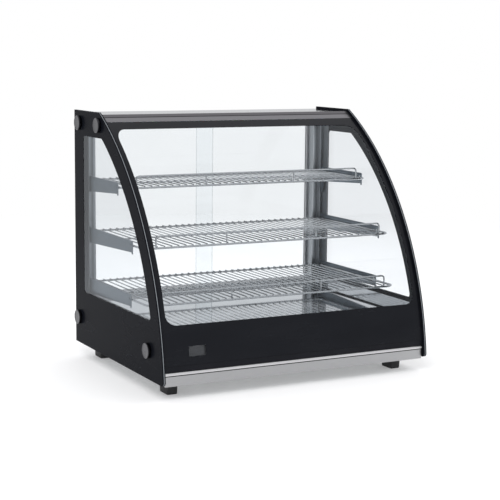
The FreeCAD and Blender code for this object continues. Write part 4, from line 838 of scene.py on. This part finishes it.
def studio_world():
    """White to the camera; for reflections a bright room with darker flanks, so that chrome has contrast."""
    world = bpy.data.worlds.new("studio")
    bpy.context.scene.world = world
    world.use_nodes = True
    tree = world.node_tree
    tree.nodes.clear()
    coords = tree.nodes.new("ShaderNodeTexCoord")
    split = tree.nodes.new("ShaderNodeSeparateXYZ")
    ramp = tree.nodes.new("ShaderNodeValToRGB")
    below, above = ramp.color_ramp.elements
    below.color = (0.55, 0.56, 0.58, 1)
    above.color = (1.0, 1.0, 1.0, 1)
    for position, value in ((0.48, 0.62), (0.56, 0.72), (0.75, 0.95)):
        element = ramp.color_ramp.elements.new(position)
        element.color = (value, value * 1.005, value * 1.02, 1)
    remap = tree.nodes.new("ShaderNodeMapRange")
    remap.inputs["From Min"].default_value = -1
    remap.inputs["From Max"].default_value = 1
    reflected = tree.nodes.new("ShaderNodeBackground")
    seen = tree.nodes.new("ShaderNodeBackground")
    seen.inputs["Color"].default_value = (1, 1, 1, 1)
    path = tree.nodes.new("ShaderNodeLightPath")
    mix = tree.nodes.new("ShaderNodeMixShader")
    out = tree.nodes.new("ShaderNodeOutputWorld")
    link = tree.links.new
    link(coords.outputs["Generated"], split.inputs[0])
    link(split.outputs["Z"], remap.inputs["Value"])
    link(remap.outputs["Result"], ramp.inputs[0])
    link(ramp.outputs[0], reflected.inputs["Color"])
    link(path.outputs["Is Camera Ray"], mix.inputs["Fac"])
    link(reflected.outputs[0], mix.inputs[1])
    link(seen.outputs[0], mix.inputs[2])
    link(mix.outputs[0], out.inputs["Surface"])


def studio_camera():
    """Long lens from the front left, a little above the case."""
    place = Vector((-1.55034, -2.96921, 0.78033))
    yaw, pitch, roll = math.radians(27.752), math.radians(8.477), math.radians(0.605)
    ahead = Vector((math.sin(yaw) * math.cos(pitch), math.cos(yaw) * math.cos(pitch), -math.sin(pitch)))
    right = Vector((math.cos(yaw), -math.sin(yaw), 0))
    up = right.cross(ahead)
    turned_right = right * math.cos(roll) + up * math.sin(roll)
    turned_up = up * math.cos(roll) - right * math.sin(roll)
    data = bpy.data.cameras.new("camera")
    data.lens = 98.8
    data.sensor_width = 36
    data.clip_end = 100
    item = bpy.data.objects.new("camera", data)
    bpy.context.scene.collection.objects.link(item)
    axes = Matrix((turned_right, turned_up, -ahead)).transposed().to_4x4()
    item.matrix_world = Matrix.Translation(place) @ axes
    bpy.context.scene.camera = item


def build_studio():
    studio_floor()
    studio_world()
    studio_camera()
    area_light("key", (-2.2, -2.6, 3.2), (2.4, 1.6), 60)
    area_light("fill", (3.0, -1.2, 2.0), (2.0, 2.0), 25)
    area_light("back", (0.5, 3.2, 2.6), (3.0, 1.5), 40)
    scene = bpy.context.scene
    scene.view_settings.view_transform = "Standard"
    scene.view_settings.look = "None"
    scene.cycles.max_bounces = 24
    scene.cycles.transparent_max_bounces = 32
    scene.cycles.glossy_bounces = 8


dress_cad_nodes()
build_pieces()
build_studio()
